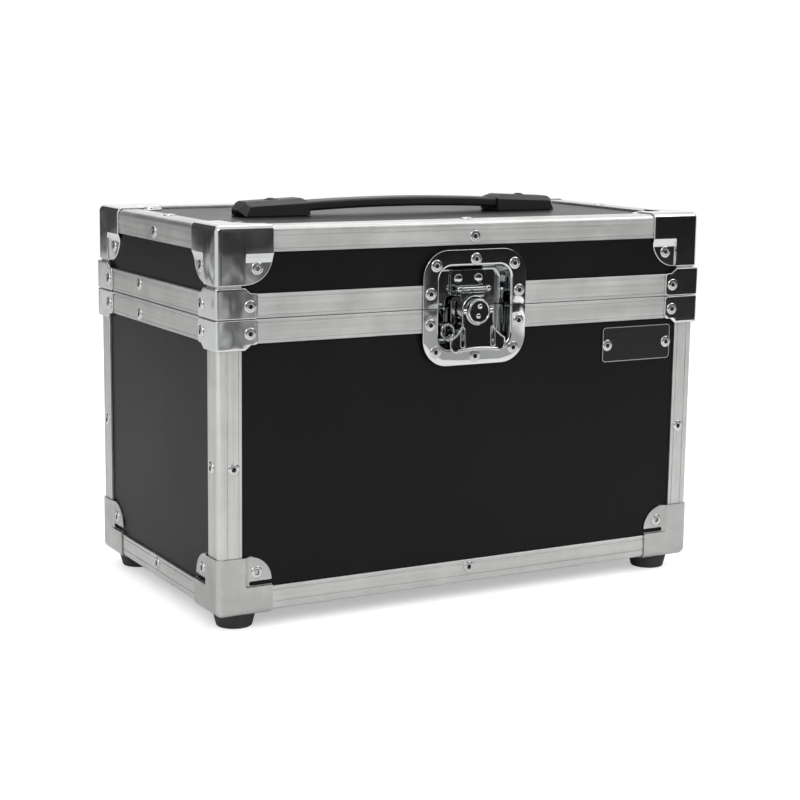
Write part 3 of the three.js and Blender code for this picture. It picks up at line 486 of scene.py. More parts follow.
foamLook = {
    "color": (0.022, 0.022, 0.024), "roughness": 0.96, "cellScale": 850.0, "cloudScale": 24,
    "cells": 0.7, "clouds": 0.4, "dark": 0.5, "light": 2.1, "cellBump": (0.9, 0.0008),
    "sheen": 0.15,
}
hollowLook = {"color": (0.006, 0.006, 0.006), "roughness": (0.55, 0.85), "grainScale": 900}


def shaded(look, share):
    return tuple(channel * share for channel in look["color"])


def glossFrom(tree, value, look):
    return rangeNode(tree, value, 0.3, 0.7, *look["roughness"])


def cellNode(tree, where, scale):
    return makeNode(tree, "ShaderNodeTexVoronoi", {"Vector": where, "Scale": scale},
                    feature="F1").outputs["Distance"]


def laminateFinish():
    # Fine pebbled laminate with faint wiping streaks and a little dust
    look = laminateLook
    material, tree, shader = makeMaterial("blackLaminate", look["color"], 0.0, 0.4)
    where = objectCoordinates(tree)
    cloud = noiseNode(tree, where, look["cloudScale"], 3)
    streaks = noiseNode(tree, where, look["streakScale"], 5, 0.6, look["streakStretch"])
    mottle = weighed(tree, cloud, look["clouds"], streaks, look["streaks"])
    dust = rangeNode(tree, noiseNode(tree, where, look["dustScale"], 2), *look["dusty"])
    tint = rangeNode(tree, mottle, *look["tint"])
    factor = weighed(tree, tint, 1.0, dust, look["dust"])
    pebble = noiseNode(tree, where, look["pebbleScale"], 3, 0.6)
    fillNode(tree, shader, {
        "Base Color": colorBetween(tree, factor, look["color"], shaded(look, look["lighter"])),
        "Roughness": glossFrom(tree, mottle, look),
        "Normal": bumpNode(tree, pebble, *look["pebbleBump"]),
        "Specular IOR Level": look["specular"],
    })
    return material


def streakedMetal(name, upright):
    # Die lines run along each extrusion: posts upwards, frames along x or, at the sides, y
    look = aluminiumLook
    material, tree, shader = makeMaterial(name, look["color"], 1.0, 0.36)
    where = objectCoordinates(tree)
    fine, along = look["dieLines"], look["along"]
    if upright:
        lines = noiseNode(tree, where, 1, 6, 0.65, (fine, fine, along))
    else:
        fromMiddle = mathNode(tree, "ABSOLUTE", coordinate(tree, where, "X"))
        lines = makeNode(tree, "ShaderNodeMix", {
            0: mathNode(tree, "GREATER_THAN", fromMiddle, look["sideFrom"]),
            2: noiseNode(tree, where, 1, 6, 0.65, (along, fine, fine)),
            3: noiseNode(tree, where, 1, 6, 0.65, (fine, along, fine)),
        }).outputs[0]
    cloud = noiseNode(tree, where, look["cloudScale"], 4, 0.6)
    mix = weighed(tree, lines, look["lines"], cloud, look["clouds"])
    fillNode(tree, shader, {
        "Base Color": colorBetween(tree, rangeNode(tree, mix, 0.3, 0.7, 0.0, 1.0),
                                   shaded(look, look["dark"]), shaded(look, look["light"])),
        "Roughness": glossFrom(tree, mix, look),
        "Normal": bumpNode(tree, lines, *look["lineBump"]),
    })
    return material


def platedMetal(name, look):
    # Plated sheet: wiped smudges in the gloss, a slow press wave and fine hairlines
    material, tree, shader = makeMaterial(name, look["color"], 1.0, look["roughness"][0])
    where = objectCoordinates(tree)
    cloud = noiseNode(tree, where, look["smudgeScale"], 5, 0.62)
    hair = noiseNode(tree, where, plating["hairScale"], 3, 0.5, plating["hairStretch"])
    mix = weighed(tree, cloud, plating["smudges"], hair, plating["hairs"])
    wave = noiseNode(tree, where, plating["waveScale"], 1)
    normal = bumpNode(tree, wave, look["wave"], plating["waveDepth"])
    if look["hairlines"]:
        normal = bumpNode(tree, hair, look["hairlines"], plating["hairDepth"], Normal=normal)
    fillNode(tree, shader, {
        "Base Color": colorBetween(tree, rangeNode(tree, cloud, 0.3, 0.75, 0.0, 1.0),
                                   shaded(look, plating["light"]),
                                   shaded(look, plating["dark"])),
        "Roughness": rangeNode(tree, mix, 0.34, 0.70, *look["roughness"]),
        "Normal": normal,
    })
    return material


def plateFinish():
    look = plateLook
    material, tree, shader = makeMaterial("blackAnodised", look["color"], 0.4, 0.36)
    grain = noiseNode(tree, objectCoordinates(tree), 1, 5, 0.6, look["grain"])
    fillNode(tree, shader, {
        "Base Color": colorBetween(tree, grain, look["dark"], look["light"]),
        "Roughness": glossFrom(tree, grain, look),
        "Normal": bumpNode(tree, grain, *look["grainBump"]),
    })
    return material


def rubberFinish():
    look = rubberLook
    material, tree, shader = makeMaterial("blackRubber", look["color"], 0.0, 0.7)
    where = objectCoordinates(tree)
    cloud = noiseNode(tree, where, look["cloudScale"], 4)
    grain = noiseNode(tree, where, look["grainScale"], 3)
    fillNode(tree, shader, {
        "Base Color": colorBetween(tree, cloud, look["color"], shaded(look, look["lighter"])),
        "Roughness": glossFrom(tree, cloud, look),
        "Normal": bumpNode(tree, grain, *look["grainBump"]),
    })
    return material


def handleFinish():
    # Fine spark-eroded grain, with a little polish where a hand rubs
    look = handleLook
    material, tree, shader = makeMaterial("grainedHandle", look["color"], 0.0, 0.45)
    where = objectCoordinates(tree)
    rubbed = noiseNode(tree, where, look["rubbedScale"], 3)
    cells = cellNode(tree, where, look["cellScale"])
    fillNode(tree, shader, {
        "Base Color": colorBetween(tree, cells, shaded(look, look["light"]),
                                   shaded(look, look["dark"])),
        "Roughness": glossFrom(tree, rubbed, look),
        "Normal": bumpNode(tree, cells, *look["cellBump"]),
    })
    return material


def foamFinish():
    # Open cells cut through by the knife
    look = foamLook
    material, tree, shader = makeMaterial("openCellFoam", look["color"], 0.0,
                                          look["roughness"])
    where = objectCoordinates(tree)
    cells = cellNode(tree, where, look["cellScale"])
    factor = weighed(tree, cells, look["cells"], noiseNode(tree, where, look["cloudScale"], 4),
                     look["clouds"])
    fillNode(tree, shader, {
        "Base Color": colorBetween(tree, factor, shaded(look, look["light"]),
                                   shaded(look, look["dark"])),
        "Normal": bumpNode(tree, cells, *look["cellBump"]),
        "Sheen Weight": look["sheen"],
    })
    return material


# Near black for the rivets' hollows: painted shade in their shallow holes
def hollowFinish():
    look = hollowLook
    material, tree, shader = makeMaterial("shadowedHollow", look["color"], 0.3, 0.7)
    grain = noiseNode(tree, objectCoordinates(tree), look["grainScale"], 2)
    fillNode(tree, shader, {"Roughness": glossFrom(tree, grain, look)})
    return material


laminate = laminateFinish()
extruded = streakedMetal("extrudedAluminium", False)
extrudedPost = streakedMetal("extrudedPosts", True)
chrome, recessChrome, highlightedRim, satin, rivetMetal = (
    platedMetal(name, look) for name, look in platedLooks.items())
blackAnodised = plateFinish()
rubber = rubberFinish()
handlePlastic = handleFinish()
foam = foamFinish()
hollow = hollowFinish()


print("stage: extruded edges")

extrusion = {
    "leg": 17.6, "wall": 1.5, "bend": 4.2, "bendSteps": 7, "insideSteps": 3,
    "grooveWidth": 0.8, "grooveDepth": 0.4, "grooveSlant": 0.15, "fromLip": 2.2,
    "fromBend": 2.0, "lipRound": 0.25, "cornerSteps": 6,
    "postLow": 17.8, "postJoint": 17.0, "postHigh": 15.6,
}


def groove(start):
    width, depth, slant = (extrusion[key]
                           for key in ("grooveWidth", "grooveDepth", "grooveSlant"))
    return [(0, start), (depth, start + slant), (depth, start + width - slant),
            (0, start + width)]


def angleProfile():
    leg, wall, bend = extrusion["leg"], extrusion["wall"], extrusion["bend"]
    starts = (leg - extrusion["fromLip"] - extrusion["grooveWidth"],
              bend + extrusion["fromBend"])
    lip = extrusion["lipRound"]
    points = [(lip, leg), (0, leg - lip)]
    for start in starts:
        points += reversed(groove(start))
    points += arcPoints(bend, bend, bend, 180, 270, extrusion["bendSteps"])
    for start in reversed(starts):
        points += [(along, inset) for inset, along in groove(start)]
    points += [(leg - lip, 0), (leg, lip), (leg, wall)]
    points += arcPoints(bend, bend, bend - wall, 270, 180, extrusion["insideSteps"])
    return points + [(wall, leg)]


def cornerStation(halfW, halfD, radius, sideX, sideY, degrees):
    turn = math.radians(degrees)

    def place(inset, height):
        reach = radius - inset
        cx, cy = sideX * (halfW - radius), sideY * (halfD - radius)
        if reach > 0:
            return cx + reach * math.cos(turn), cy + reach * math.sin(turn), height
        return cx + sideX * reach, cy + sideY * reach, height  # a mitre inside the bend
    return place


def frontStation(x, halfD):
    return lambda inset, height: (x, -halfD + inset, height)


def frameStations(halfW, halfD, radius, steps, opening=None):
    stations = [cornerStation(halfW, halfD, radius, sideX, sideY, start + 90 * k / steps)
                for sideX, sideY, start in ((1, -1, -90), (1, 1, 0), (-1, 1, 90), (-1, -1, 180))
                for k in range(steps + 1)]
    if opening:
        return [frontStation(opening, halfD)] + stations + [frontStation(-opening, halfD)]
    return stations


def sweptFrame(name, profile, stations, closed):
    verts = [station(inset, height) for station in stations for inset, height in profile]
    faces = gridFaces(len(stations), len(profile), ring=True, loop=closed)
    if not closed:
        start, end = endFaces(len(profile), len(verts))
        faces += [start, end[::-1]]
    return smoothed(solidPiece(name, verts, faces), 32)


def buildEdges():
    profile = angleProfile()
    halfW, halfD = shell["halfWidth"], shell["halfDepth"]
    ring = frameStations(halfW, halfD, extrusion["bend"], extrusion["cornerSteps"])
    low = [(a, shell["bottom"] + b) for a, b in profile]
    high = [(a, shell["top"] - b) for a, b in profile]
    placed(sweptFrame("bottomEdgeFrame", low, ring, True), caseBody,
           ["bottom_edge_frame"], extruded)
    placed(sweptFrame("lidEdgeFrame", high, ring, True), lidBody,
           ["lid_edge_frame"], extruded)

    gap = extrusion["postJoint"]
    for kind, body, start, end in (
            ("post", caseBody, shell["bottom"] + extrusion["postLow"], shell["joint"] - gap),
            ("lidPost", lidBody, shell["joint"] + gap, shell["top"] - extrusion["postHigh"])):
        for word, node, sideX, sideY in corners:
            post = prismPiece(kind + word, profile, start, end,
                              lambda a, b, z: (sideX * (halfW - a), sideY * (halfD - b), z))
            placed(smoothed(post, 32), body,
                   [f"corner_post_{node}"] if kind == "post" else [], extrudedPost)


rim = {
    "height": 16.8, "proud": 0.8, "wall": 2.3, "inner": 8.7, "innerWall": 1.5,
    "innerHeight": 13.5, "radius": 2.2, "cornerSteps": 4, "opening": 32.5,
    "trackDepth": 4.8, "trackWidth": 5.6, "trackFloor": 6.3,
    "tongueDepth": 4.0, "tongueWidth": 2.6, "tongueCut": 0.5, "lidFloor": 3.0,
}


def rimProfile(floorDepth, joint, side):
    half, height, lip = shell["jointGap"] / 2, rim["height"], extrusion["lipRound"]
    inside, back = rim["inner"], rim["inner"] + rim["innerWall"]
    points = [(lip, half), (0, half + lip)]
    for start in (extrusion["fromLip"],
                  height - extrusion["fromLip"] - extrusion["grooveWidth"]):
        points += groove(start)
    points += [(0, height - lip), (lip, height), (rim["wall"], height),
               (rim["wall"], floorDepth), (inside, floorDepth), (inside, rim["innerHeight"]),
               (back, rim["innerHeight"]), (back, half)]
    return [(a, shell["joint"] + side * b) for a, b in points + joint]


def buildRims():
    half, cut = shell["jointGap"] / 2, rim["tongueCut"]
    middle = (rim["inner"] + rim["innerWall"]) / 2
    near, far = middle - rim["trackWidth"] / 2, middle + rim["trackWidth"] / 2
    depth = rim["trackDepth"]
    track = [(far, half), (far, depth), (near, depth), (near, half)]
    near, far = middle - rim["tongueWidth"] / 2, middle + rim["tongueWidth"] / 2
    reach = rim["tongueDepth"]
    tongue = [(far, half), (far, cut - reach), (far - cut, -reach), (near + cut, -reach),
              (near, cut - reach), (near, half)]
    path = frameStations(shell["halfWidth"] + rim["proud"], shell["halfDepth"] + rim["proud"],
                         rim["radius"], rim["cornerSteps"], rim["opening"])
    lower = sweptFrame("bodyRim", rimProfile(rim["trackFloor"], track, -1), path, False)
    placed(lower, caseBody, ["body_rim"], extruded)
    upper = sweptFrame("lidRim", rimProfile(rim["lidFloor"], tongue, 1), path, False)
    placed(upper, lidBody, ["lid_rim"], extruded)


buildEdges()
buildRims()


print("stage: metal corners")

corner = {
    "bendSteps": 6, "slopeSteps": 10, "finest": 0.25, "closest": 0.08, "levelAt": 13.0,
    "spreadAt": [27.0, 31.0, 36.0], "drop": 1.7, "stepLead": 0.16,
    "crown": (0.12, 0.42, 0.22),  # swell of the lying face, the side and the front
    "top": {"leg": 42.2, "tall": 40.7, "tongue": 20.0, "bend": 4.7, "sunkFrom": 19.4,
            "slope": 6.6, "sideFrom": 21.2, "sideSlope": 0.8, "sunkTurn": 0.8, "rim": 0.5},
    "bottom": {"leg": 41.2, "tall": 41.2, "tongue": 17.5, "bend": 5.4, "sunkFrom": 20.2,
               "slope": 5.0, "sideFrom": 20.2, "sideSlope": 5.0, "rim": 0.0},
    "slotLow": 20.9, "slotWidth": 3.1, "slotFrom": 23.9, "slotLength": 40,
    "inside": (-150, -60),
}


def bendLines(bend):
    steps = corner["bendSteps"]
    return [bend - bend * math.tan(math.radians(45 * (1 - k / steps))) for k in range(steps + 1)]


def rampLines(start, slope):
    steps = min(corner["slopeSteps"], round(slope / corner["finest"]))
    return [start + slope * k / steps for k in range(steps + 1)]


def tongueLines(tall, radius):
    return [tall - radius + radius * math.sin(t) for t in turns(7.5, 0, 12)]


def spacedApart(values):
    values = sorted(values)
    return [v for v, after in zip(values, values[1:] + [values[-1] + 1])
            if after - v > corner["closest"]]


def faceReach(v, leg, tall, radius):
    if v <= tall - radius:
        return leg
    above = min(v - (tall - radius), radius)
    return leg - radius + math.sqrt(max(radius * radius - above * above, 0.0))


def sunkDepth(u, v, shape, slotted):
    # The step is short towards the corner's edge and long below the profile
    a = (u - shape["sideFrom"]) / shape["sideSlope"]
    b = (v - shape["sunkFrom"]) / shape["slope"]
    if slotted:
        inward = a if b > 0.0 else -1.0
    elif max(a, b) < shape["sunkTurn"]:
        inward = shape["sunkTurn"] - math.hypot(shape["sunkTurn"] - a, shape["sunkTurn"] - b)
    else:
        inward = min(a, b)
    share, lead = min(max(inward, 0.0), 1.0), corner["stepLead"]
    if share < lead:
        return corner["drop"] * share * share / lead
    return corner["drop"] * (1 - (1 - share) ** 2 / (1 - lead))


def crownAt(u, v, leg, tall, bend, height):
    # Pressed sheet swells a little between its bends and its rim
    a = min(max((u - bend) / (leg - bend), 0), 1)
    b = min(max((v - bend) / (tall - bend), 0), 1)
    return height * math.sin(math.pi * a) * math.sin(math.pi * b)


def roundedOver(u, v, bend, depth):
    inner = Vector((max(u, bend), max(v, bend), bend))
    point = inner + (Vector((u, v, 0)) - inner).normalized() * bend
    return point.x, point.y, point.z + depth


def capFace(shape, tall, slotted, crown, lying):
    # One face of a corner: u runs level, v away from the edge, and the third value inwards
    edge, bend = shape["rim"], shape["bend"]
    leg, tall, radius = shape["leg"] - edge, tall - edge, shape["tongue"] - edge
    lines = bendLines(bend) + [corner["levelAt"]]
    across = rampLines(shape["sideFrom"], shape["sideSlope"])
    down = rampLines(shape["sunkFrom"], shape["slope"])
    level = spacedApart(lines + corner["spreadAt"] + across + down + tongueLines(leg, radius))
    upright = spacedApart(lines + down + tongueLines(tall, radius))
    if lying:  # its two ways meet the same bends as the level lines of the upright faces
        upright = level
    if slotted:
        level, upright = (sorted(set(listed) | {shape["sunkFrom"] + 0.01})
                          for listed in (level, upright))
    start, points = across[-1], []
    for v in upright:
        reach = faceReach(v, leg, tall, radius)
        for u in level:
            if u > start and reach > start:
                u = start + (u - start) * (reach - start) / (leg - start)
            u = min(u, reach)
            depth = sunkDepth(u, v, shape, slotted) - crownAt(u, v, leg, tall, bend, crown)
            points.append(roundedOver(u, v, bend, depth))
    return points, len(upright), len(level)


def outerCorner(proud=0.0):
    return (-shell["halfWidth"] - proud - shell["sheetOut"],
            -shell["halfDepth"] - proud - shell["sheetOut"])


def cornerSheet(name, shape, bottom):
    verts, faces = [], []
    lying, side, front = corner["crown"]
    outX, outY = outerCorner()
    out = shell["sheetOut"]
    for tall, crown, isLying, turn in (
            (shape["leg"], lying, True, asDrawn),
            (shape["tall"], side, False, lambda a, b, c: (c, a, b)),
            (shape["tall"], front, False, onFront)):
        points, rows, width = capFace(shape, tall, bottom, crown, isLying)
        faces += gridFaces(rows, width, len(verts))
        for point in points:
            x, y, z = turn(*point)
            verts.append((outX + x, outY + y,
                          shell["bottom"] - out + z if bottom else shell["top"] + out - z))
    return orientedSheet(name, verts, faces, 60 if bottom else 230)


def orientedSheet(name, verts, faces, level):
    piece = solidPiece(name, verts, faces)
    inside = Vector((*corner["inside"], level)) * mm
    facing = sum((p.center - inside).dot(p.normal) * p.area for p in piece.data.polygons)
    if facing < 0:
        piece.data.flip_normals()
    return piece


def slotCutters():
    length, width = corner["slotLength"], corner["slotWidth"]
    outline = stadium(length, width, corner["slotFrom"] + length / 2,
                      corner["slotLow"] + width / 2)
    outX, outY = outerCorner()
    outZ = shell["bottom"] - shell["sheetOut"]
    return [
        prismPiece("slotFront", outline, -3, 4, lambda a, b, c: (outX + a, outY + c, outZ + b)),
        prismPiece("slotSide", outline, -3, 4, lambda a, b, c: (outX + c, outY + a, outZ + b)),
    ]


def outwardAt(vertex):
    # The way off the sheet at a rim vertex, long enough to keep the rim even round a corner
    total = Vector()
    for edge in vertex.link_edges:
        if edge.is_boundary:
            first, second = (end.co for end in edge.verts)
            side = (second - first).normalized().cross(vertex.normal)
            away = (first + second) / 2 - edge.link_faces[0].calc_center_median()
            total += side if side.dot(away) > 0 else -side
    return total * min(2 / total.length_squared, 1.0)


def pressedSheet(piece, metal, edge):
    # Gives a sheet its thickness and a round rim, duller than its faces and lighter in colour: a
    # painted highlight along the edge
    for coat in (metal, highlightedRim):
        piece.data.materials.append(coat)
    thick, edge = shell["sheet"] * mm, edge * mm
    profile = [(edge * math.sin(t), edge * (1 - math.cos(t))) for t in turns(22.5, 1, 4)]
    profile.append((edge, thick))
    with editing(piece.data) as work:
        bmesh.ops.remove_doubles(work, verts=work.verts[:], dist=0.05 * mm)
        bmesh.ops.dissolve_degenerate(work, edges=work.edges[:], dist=0.02 * mm)
        work.normal_update()
        front = [face.verts[:] for face in work.faces]
        runs = [(loop.vert, loop.link_loop_next.vert)
                for border in work.edges if border.is_boundary for loop in border.link_loops]
        spots = [(vertex, vertex.co.copy(), vertex.normal.copy(),
                  outwardAt(vertex) if vertex.is_boundary else None) for vertex in work.verts]
        chains = {}
        for vertex, spot, normal, outward in spots:
            chain = [vertex]
            if outward:
                chain += [work.verts.new(spot + outward * a - normal * b) for a, b in profile]
            chains[vertex] = chain + [work.verts.new(spot - normal * thick)]
        for face in front:
            work.faces.new([chains[vertex][-1] for vertex in reversed(face)])
        for first, second in runs:
            one, two = chains[first], chains[second]
            for k in range(len(one) - 1):
                work.faces.new((two[k], one[k], one[k + 1], two[k + 1])).material_index = 1
    return piece


def setOnCorners(*patterns):
    for place, tail, sideX, sideY in corners:
        for pattern, word, node, body, slot, material in patterns:
            piece = smoothed(mirroredCopy(pattern, word + place, sideX, sideY))
            placed(piece, body, [node + tail], material)
    for pattern, *_ in patterns:
        bpy.data.objects.remove(pattern)


def buildCorners():
    top = pressedSheet(cornerSheet("topCapPattern", corner["top"], False), chrome,
                       corner["top"]["rim"])
    low = thickened(cornerSheet("bottomCapPattern", corner["bottom"], True), shell["sheet"])
    low = cutBy(low, slotCutters())
    setOnCorners((top, "topCap", "top_cap_", lidBody, "chrome_plate", None),
                 (low, "bottomCap", "bottom_cap_", caseBody, "satin_steel", satin))


bracket = {
    "leg": 31.2, "tall": 21.0, "tipLow": 17.4, "stepFrom": 21.6, "stepTo": 26.2, "tip": 2.8,
    "bend": 2.6, "edgeRound": 0.56, "rowAt": 19.2, "linesAt": (12.0, 19.0, 28.2),
}
flat = {name: bracket[name] - bracket["edgeRound"]  # the outline where its rounding starts
        for name in ("leg", "tall", "tipLow", "stepFrom", "stepTo", "tip")}
flat["low"] = shell["jointGap"] / 2 + bracket["edgeRound"]


def bracketReach(v):
    low, high, tip, leg = flat["low"], flat["tipLow"], flat["tip"], flat["leg"]
    if v < low + tip:
        return leg - tip + math.sqrt(max(tip ** 2 - (low + tip - v) ** 2, 0))
    if v <= high - tip:
        return leg
    if v <= high:
        return leg - tip + math.sqrt(max(tip ** 2 - (v - high + tip) ** 2, 0))
    share = (v - high) / (flat["tall"] - high)
    return flat["stepTo"] + (flat["stepFrom"] - flat["stepTo"]) * share


def bracketSheet(side):
    tip, bend, step, leg = flat["tip"], bracket["bend"], flat["stepTo"], flat["leg"]
    near, middle, far = bracket["linesAt"]
    rows = [flat["low"] + tip - tip * math.cos(t) for t in turns(18, 0, 5)]
    rows += [flat["tipLow"] - tip + tip * math.sin(t) for t in turns(18, 0, 4)]
    rows += [flat["tipLow"], bracket["rowAt"], flat["tall"]]
    lines = bendLines(bend) + [near, middle, step, far, leg]
    outX, outY = outerCorner(rim["proud"])
    verts, faces = [], []
    for flip in (False, True):
        start, width = len(verts), len(lines)
        for v in rows:
            reach = bracketReach(v)
            for u in lines:
                if u > step and reach > step:
                    u = step + (u - step) * (reach - step) / (leg - step)
                u = min(u, reach)
                inner = Vector((max(u, bend), bend))
                point = inner + (Vector((u, 0)) - inner).normalized() * bend
                a, b = (point.y, point.x) if flip else (point.x, point.y)
                verts.append((outX + a, outY + b, shell["joint"] + side * v))
        for r, above in enumerate(rows[1:]):
            reached = width - 1 if above <= flat["tipLow"] else lines.index(step)
            faces += gridFaces(2, width, start + r * width)[:reached]
    sheet = orientedSheet("bracketPattern", verts, faces, 60 if side < 0 else 230)
    return pressedSheet(sheet, chrome, bracket["edgeRound"])


buildCorners()
for side, body, word, node in ((1, lidBody, "lidBracket", "lid_bracket_"),
                               (-1, caseBody, "bodyBracket", "body_bracket_")):
    setOnCorners((bracketSheet(side), word, node, body, "chrome_plate", None))


print("stage: rivets")

rivets = {
    "headRadius": 4.5, "domeHeight": 1.55, "segments": 28, "steps": 15, "turnSpread": 6.28,
    "sizeSpread": 0.02, "seed": 7, "hollowFrom": 0.80, "sunkShare": 0.2, "merge": 0.002,
    "radiusCurve": [(0, 1.0), (0.07, 1.0), (0.2, 0.9), (0.36, 0.74), (0.48, 0.62),
                    (0.58, 0.54), (0.66, 0.47), (0.74, 0.40), (0.80, 0.345), (0.90, 0.30),
                    (1.0, 0.0)],
    "heightCurve": [(0, 0.18), (0.07, 0.34), (0.2, 0.70), (0.36, 0.86), (0.48, 0.84),
                    (0.58, 0.90), (0.66, 1.0), (0.74, 0.97), (0.80, 0.80), (0.90, 0.25),
                    (1.0, 0.20)],
    "small": {"headRadius": 3.3, "domeHeight": 1.2, "segments": 22},
    # x of one on the front, y of one on the side, how far out of the shell, height
    "bodyCorner": [(188.2, 100.2, 0.0, 114.9), (171.0, 83.0, -0.5, 41.2),
                   (176.5, 88.5, 2.0, 207.1)],
    "lidCorner": [(176.5, 88.5, 2.0, 225.5), (170.3, 82.3, -0.5, 250.6)],
    "lidCornerTop": (170.0, 82.0, -0.5),
    "edgeHeights": (24.6, 267.4), "edgeInset": 12, "rimY": 27.8, "rimHeights": (205.5, 227.3),
    "hingeX": 110, "hingePitch": 21, "hingeY": 114.1, "hingeHeights": (206.6, 227.0),
    "dishY": -113.7, "dishBody": [(36.95, 205.5), (32.6, 186.0)],
    "dishLid": [(36.95, 227.6), (32.6, 247.4)], "dishMiddle": (181.7, 251.4),
    "plateX": 146.5, "plateReach": 27.35, "plateY": -110.7, "plateHeight": 181.7,
}


def curveNode(tree, value, points):
    node = makeNode(tree, "ShaderNodeFloatCurve", {"Value": value})
    curve = node.mapping.curves[0]
    curve.points[0].location = points[0]
    curve.points[1].location = points[-1]
    for point in points[1:-1]:
        curve.points.new(*point)
    node.mapping.update()
    return node.outputs[0]


def rivetInputs(tree):
    def socket(name, kind, way="INPUT"):
        return tree.interface.new_socket(name, in_out=way, socket_type="NodeSocket" + kind)
    socket("Geometry", "Geometry")
    for name, value in (("Head Radius", rivets["headRadius"] * mm),
                        ("Dome Height", rivets["domeHeight"] * mm),
                        ("Turn Spread", rivets["turnSpread"]),
                        ("Size Spread", rivets["sizeSpread"])):
        socket(name, "Float").default_value = value
    for name in ("Seed", "Segments"):
        socket(name, "Int").default_value = rivets[name.lower()]
    for name in ("Metal", "Hollow"):
        socket(name, "Material")
    socket("Geometry", "Geometry", "OUTPUT")
    return makeNode(tree, "NodeGroupInput").outputs


def rivetHead(tree, given):
    # A grid rolled into a turned head: x goes round it, y from its rim to the hollow
    grid = makeNode(tree, "GeometryNodeMeshGrid", {
        "Size X": 1.0, "Size Y": 1.0, "Vertices X": given["Segments"],
        "Vertices Y": rivets["steps"],
    })
    where = makeNode(tree, "GeometryNodeInputPosition").outputs[0]
    turn = product(tree, mathNode(tree, "ADD", coordinate(tree, where, "X"), 0.5), 2 * math.pi)
    along = mathNode(tree, "ADD", coordinate(tree, where, "Y"), 0.5)
    radius = product(tree, curveNode(tree, along, rivets["radiusCurve"]), given["Head Radius"])
    lift = mathNode(tree, "SUBTRACT", curveNode(tree, along, rivets["heightCurve"]),
                    rivets["sunkShare"])
    point = makeNode(tree, "ShaderNodeCombineXYZ", {
        0: product(tree, mathNode(tree, "COSINE", turn), radius),
        1: product(tree, mathNode(tree, "SINE", turn), radius),
        2: product(tree, lift, given["Dome Height"]),
    })
    inside = makeNode(tree, "FunctionNodeCompare", {0: along, 1: rivets["hollowFrom"]},
                      data_type="FLOAT", operation="GREATER_THAN")
    marked = makeNode(tree, "GeometryNodeStoreNamedAttribute", {
        "Geometry": grid.outputs[0], "Name": "hollow", "Value": inside.outputs[0],
    }, data_type="BOOLEAN", domain="FACE")
    turned = makeNode(tree, "GeometryNodeSetPosition", {
        "Geometry": marked.outputs[0], "Position": point.outputs[0],
    })
    closed = makeNode(tree, "GeometryNodeMergeByDistance", {
        "Geometry": turned.outputs[0], "Distance": rivets["merge"] * mm,
    })
    return makeNode(tree, "GeometryNodeSetShadeSmooth", {"Geometry": closed.outputs[0]})


def randomSize(tree, low, high, given):
    return makeNode(tree, "FunctionNodeRandomValue", {2: low, 3: high, "Seed": given["Seed"]},
                    data_type="FLOAT").outputs[1]


def rivetTree():
    # Tubular rivet heads: one on every point, faced along its normal and turned at random
    tree = bpy.data.node_groups.new("rivetHeads", "GeometryNodeTree")
    given = rivetInputs(tree)
    head = rivetHead(tree, given)
    facing = makeNode(tree, "GeometryNodeInputNamedAttribute", {"Name": "facing"},
                      data_type="FLOAT_VECTOR")
    aligned = makeNode(tree, "FunctionNodeAlignRotationToVector",
                       {"Vector": facing.outputs[0]}, axis="Z")
    about = makeNode(tree, "FunctionNodeAxisAngleToRotation", {
        "Axis": (0, 0, 1), "Angle": randomSize(tree, 0.0, given["Turn Spread"], given),
    })
    rotated = makeNode(tree, "FunctionNodeRotateRotation", {
        "Rotation": aligned.outputs[0], "Rotate By": about.outputs[0],
    }, rotation_space="LOCAL")
    smallest = mathNode(tree, "SUBTRACT", 1.0, given["Size Spread"])
    spread = makeNode(tree, "GeometryNodeInstanceOnPoints", {
        "Points": given["Geometry"], "Instance": head.outputs[0],
        "Rotation": rotated.outputs[0], "Scale": randomSize(tree, smallest, 1.0, given),
    })
    real = makeNode(tree, "GeometryNodeRealizeInstances", {"Geometry": spread.outputs[0]})
    metal = makeNode(tree, "GeometryNodeSetMaterial", {
        "Geometry": real.outputs[0], "Material": given["Metal"],
    })
    # the hollow faces get the near-black material: painted shade in the hole
    inHollow = makeNode(tree, "GeometryNodeInputNamedAttribute", {"Name": "hollow"},
                        data_type="BOOLEAN")
    result = makeNode(tree, "GeometryNodeSetMaterial", {
        "Geometry": metal.outputs[0], "Selection": inHollow.outputs[0],
        "Material": given["Hollow"],
    })
    makeNode(tree, "NodeGroupOutput", {0: result.outputs[0]})
    return tree


def rivetRow(name, tree, spots, body, size):
    mesh = rawMesh(name, [spot for spot, facing in spots], [])
    attribute = mesh.attributes.new("facing", "FLOAT_VECTOR", "POINT")
    for k, (spot, facing) in enumerate(spots):
        attribute.data[k].vector = facing
    piece = makeObject(name, mesh)
    modifier = piece.modifiers.new("heads", "NODES")
    modifier.node_group = tree
    values = {"Head Radius": size["headRadius"] * mm, "Dome Height": size["domeHeight"] * mm,
              "Seed": rivets["seed"] + len(spots), "Segments": size["segments"],
              "Metal": rivetMetal, "Hollow": hollow}
    for item in tree.interface.items_tree:
        if item.in_out == "INPUT" and item.name in values:
            modifier[item.identifier] = values[item.name]
    mesh.update()
    placed(baked(piece), body)


def outwards(axis, side):
    return {"x": (side, 0, 0), "y": (0, side, 0), "z": (0, 0, side)}[axis]


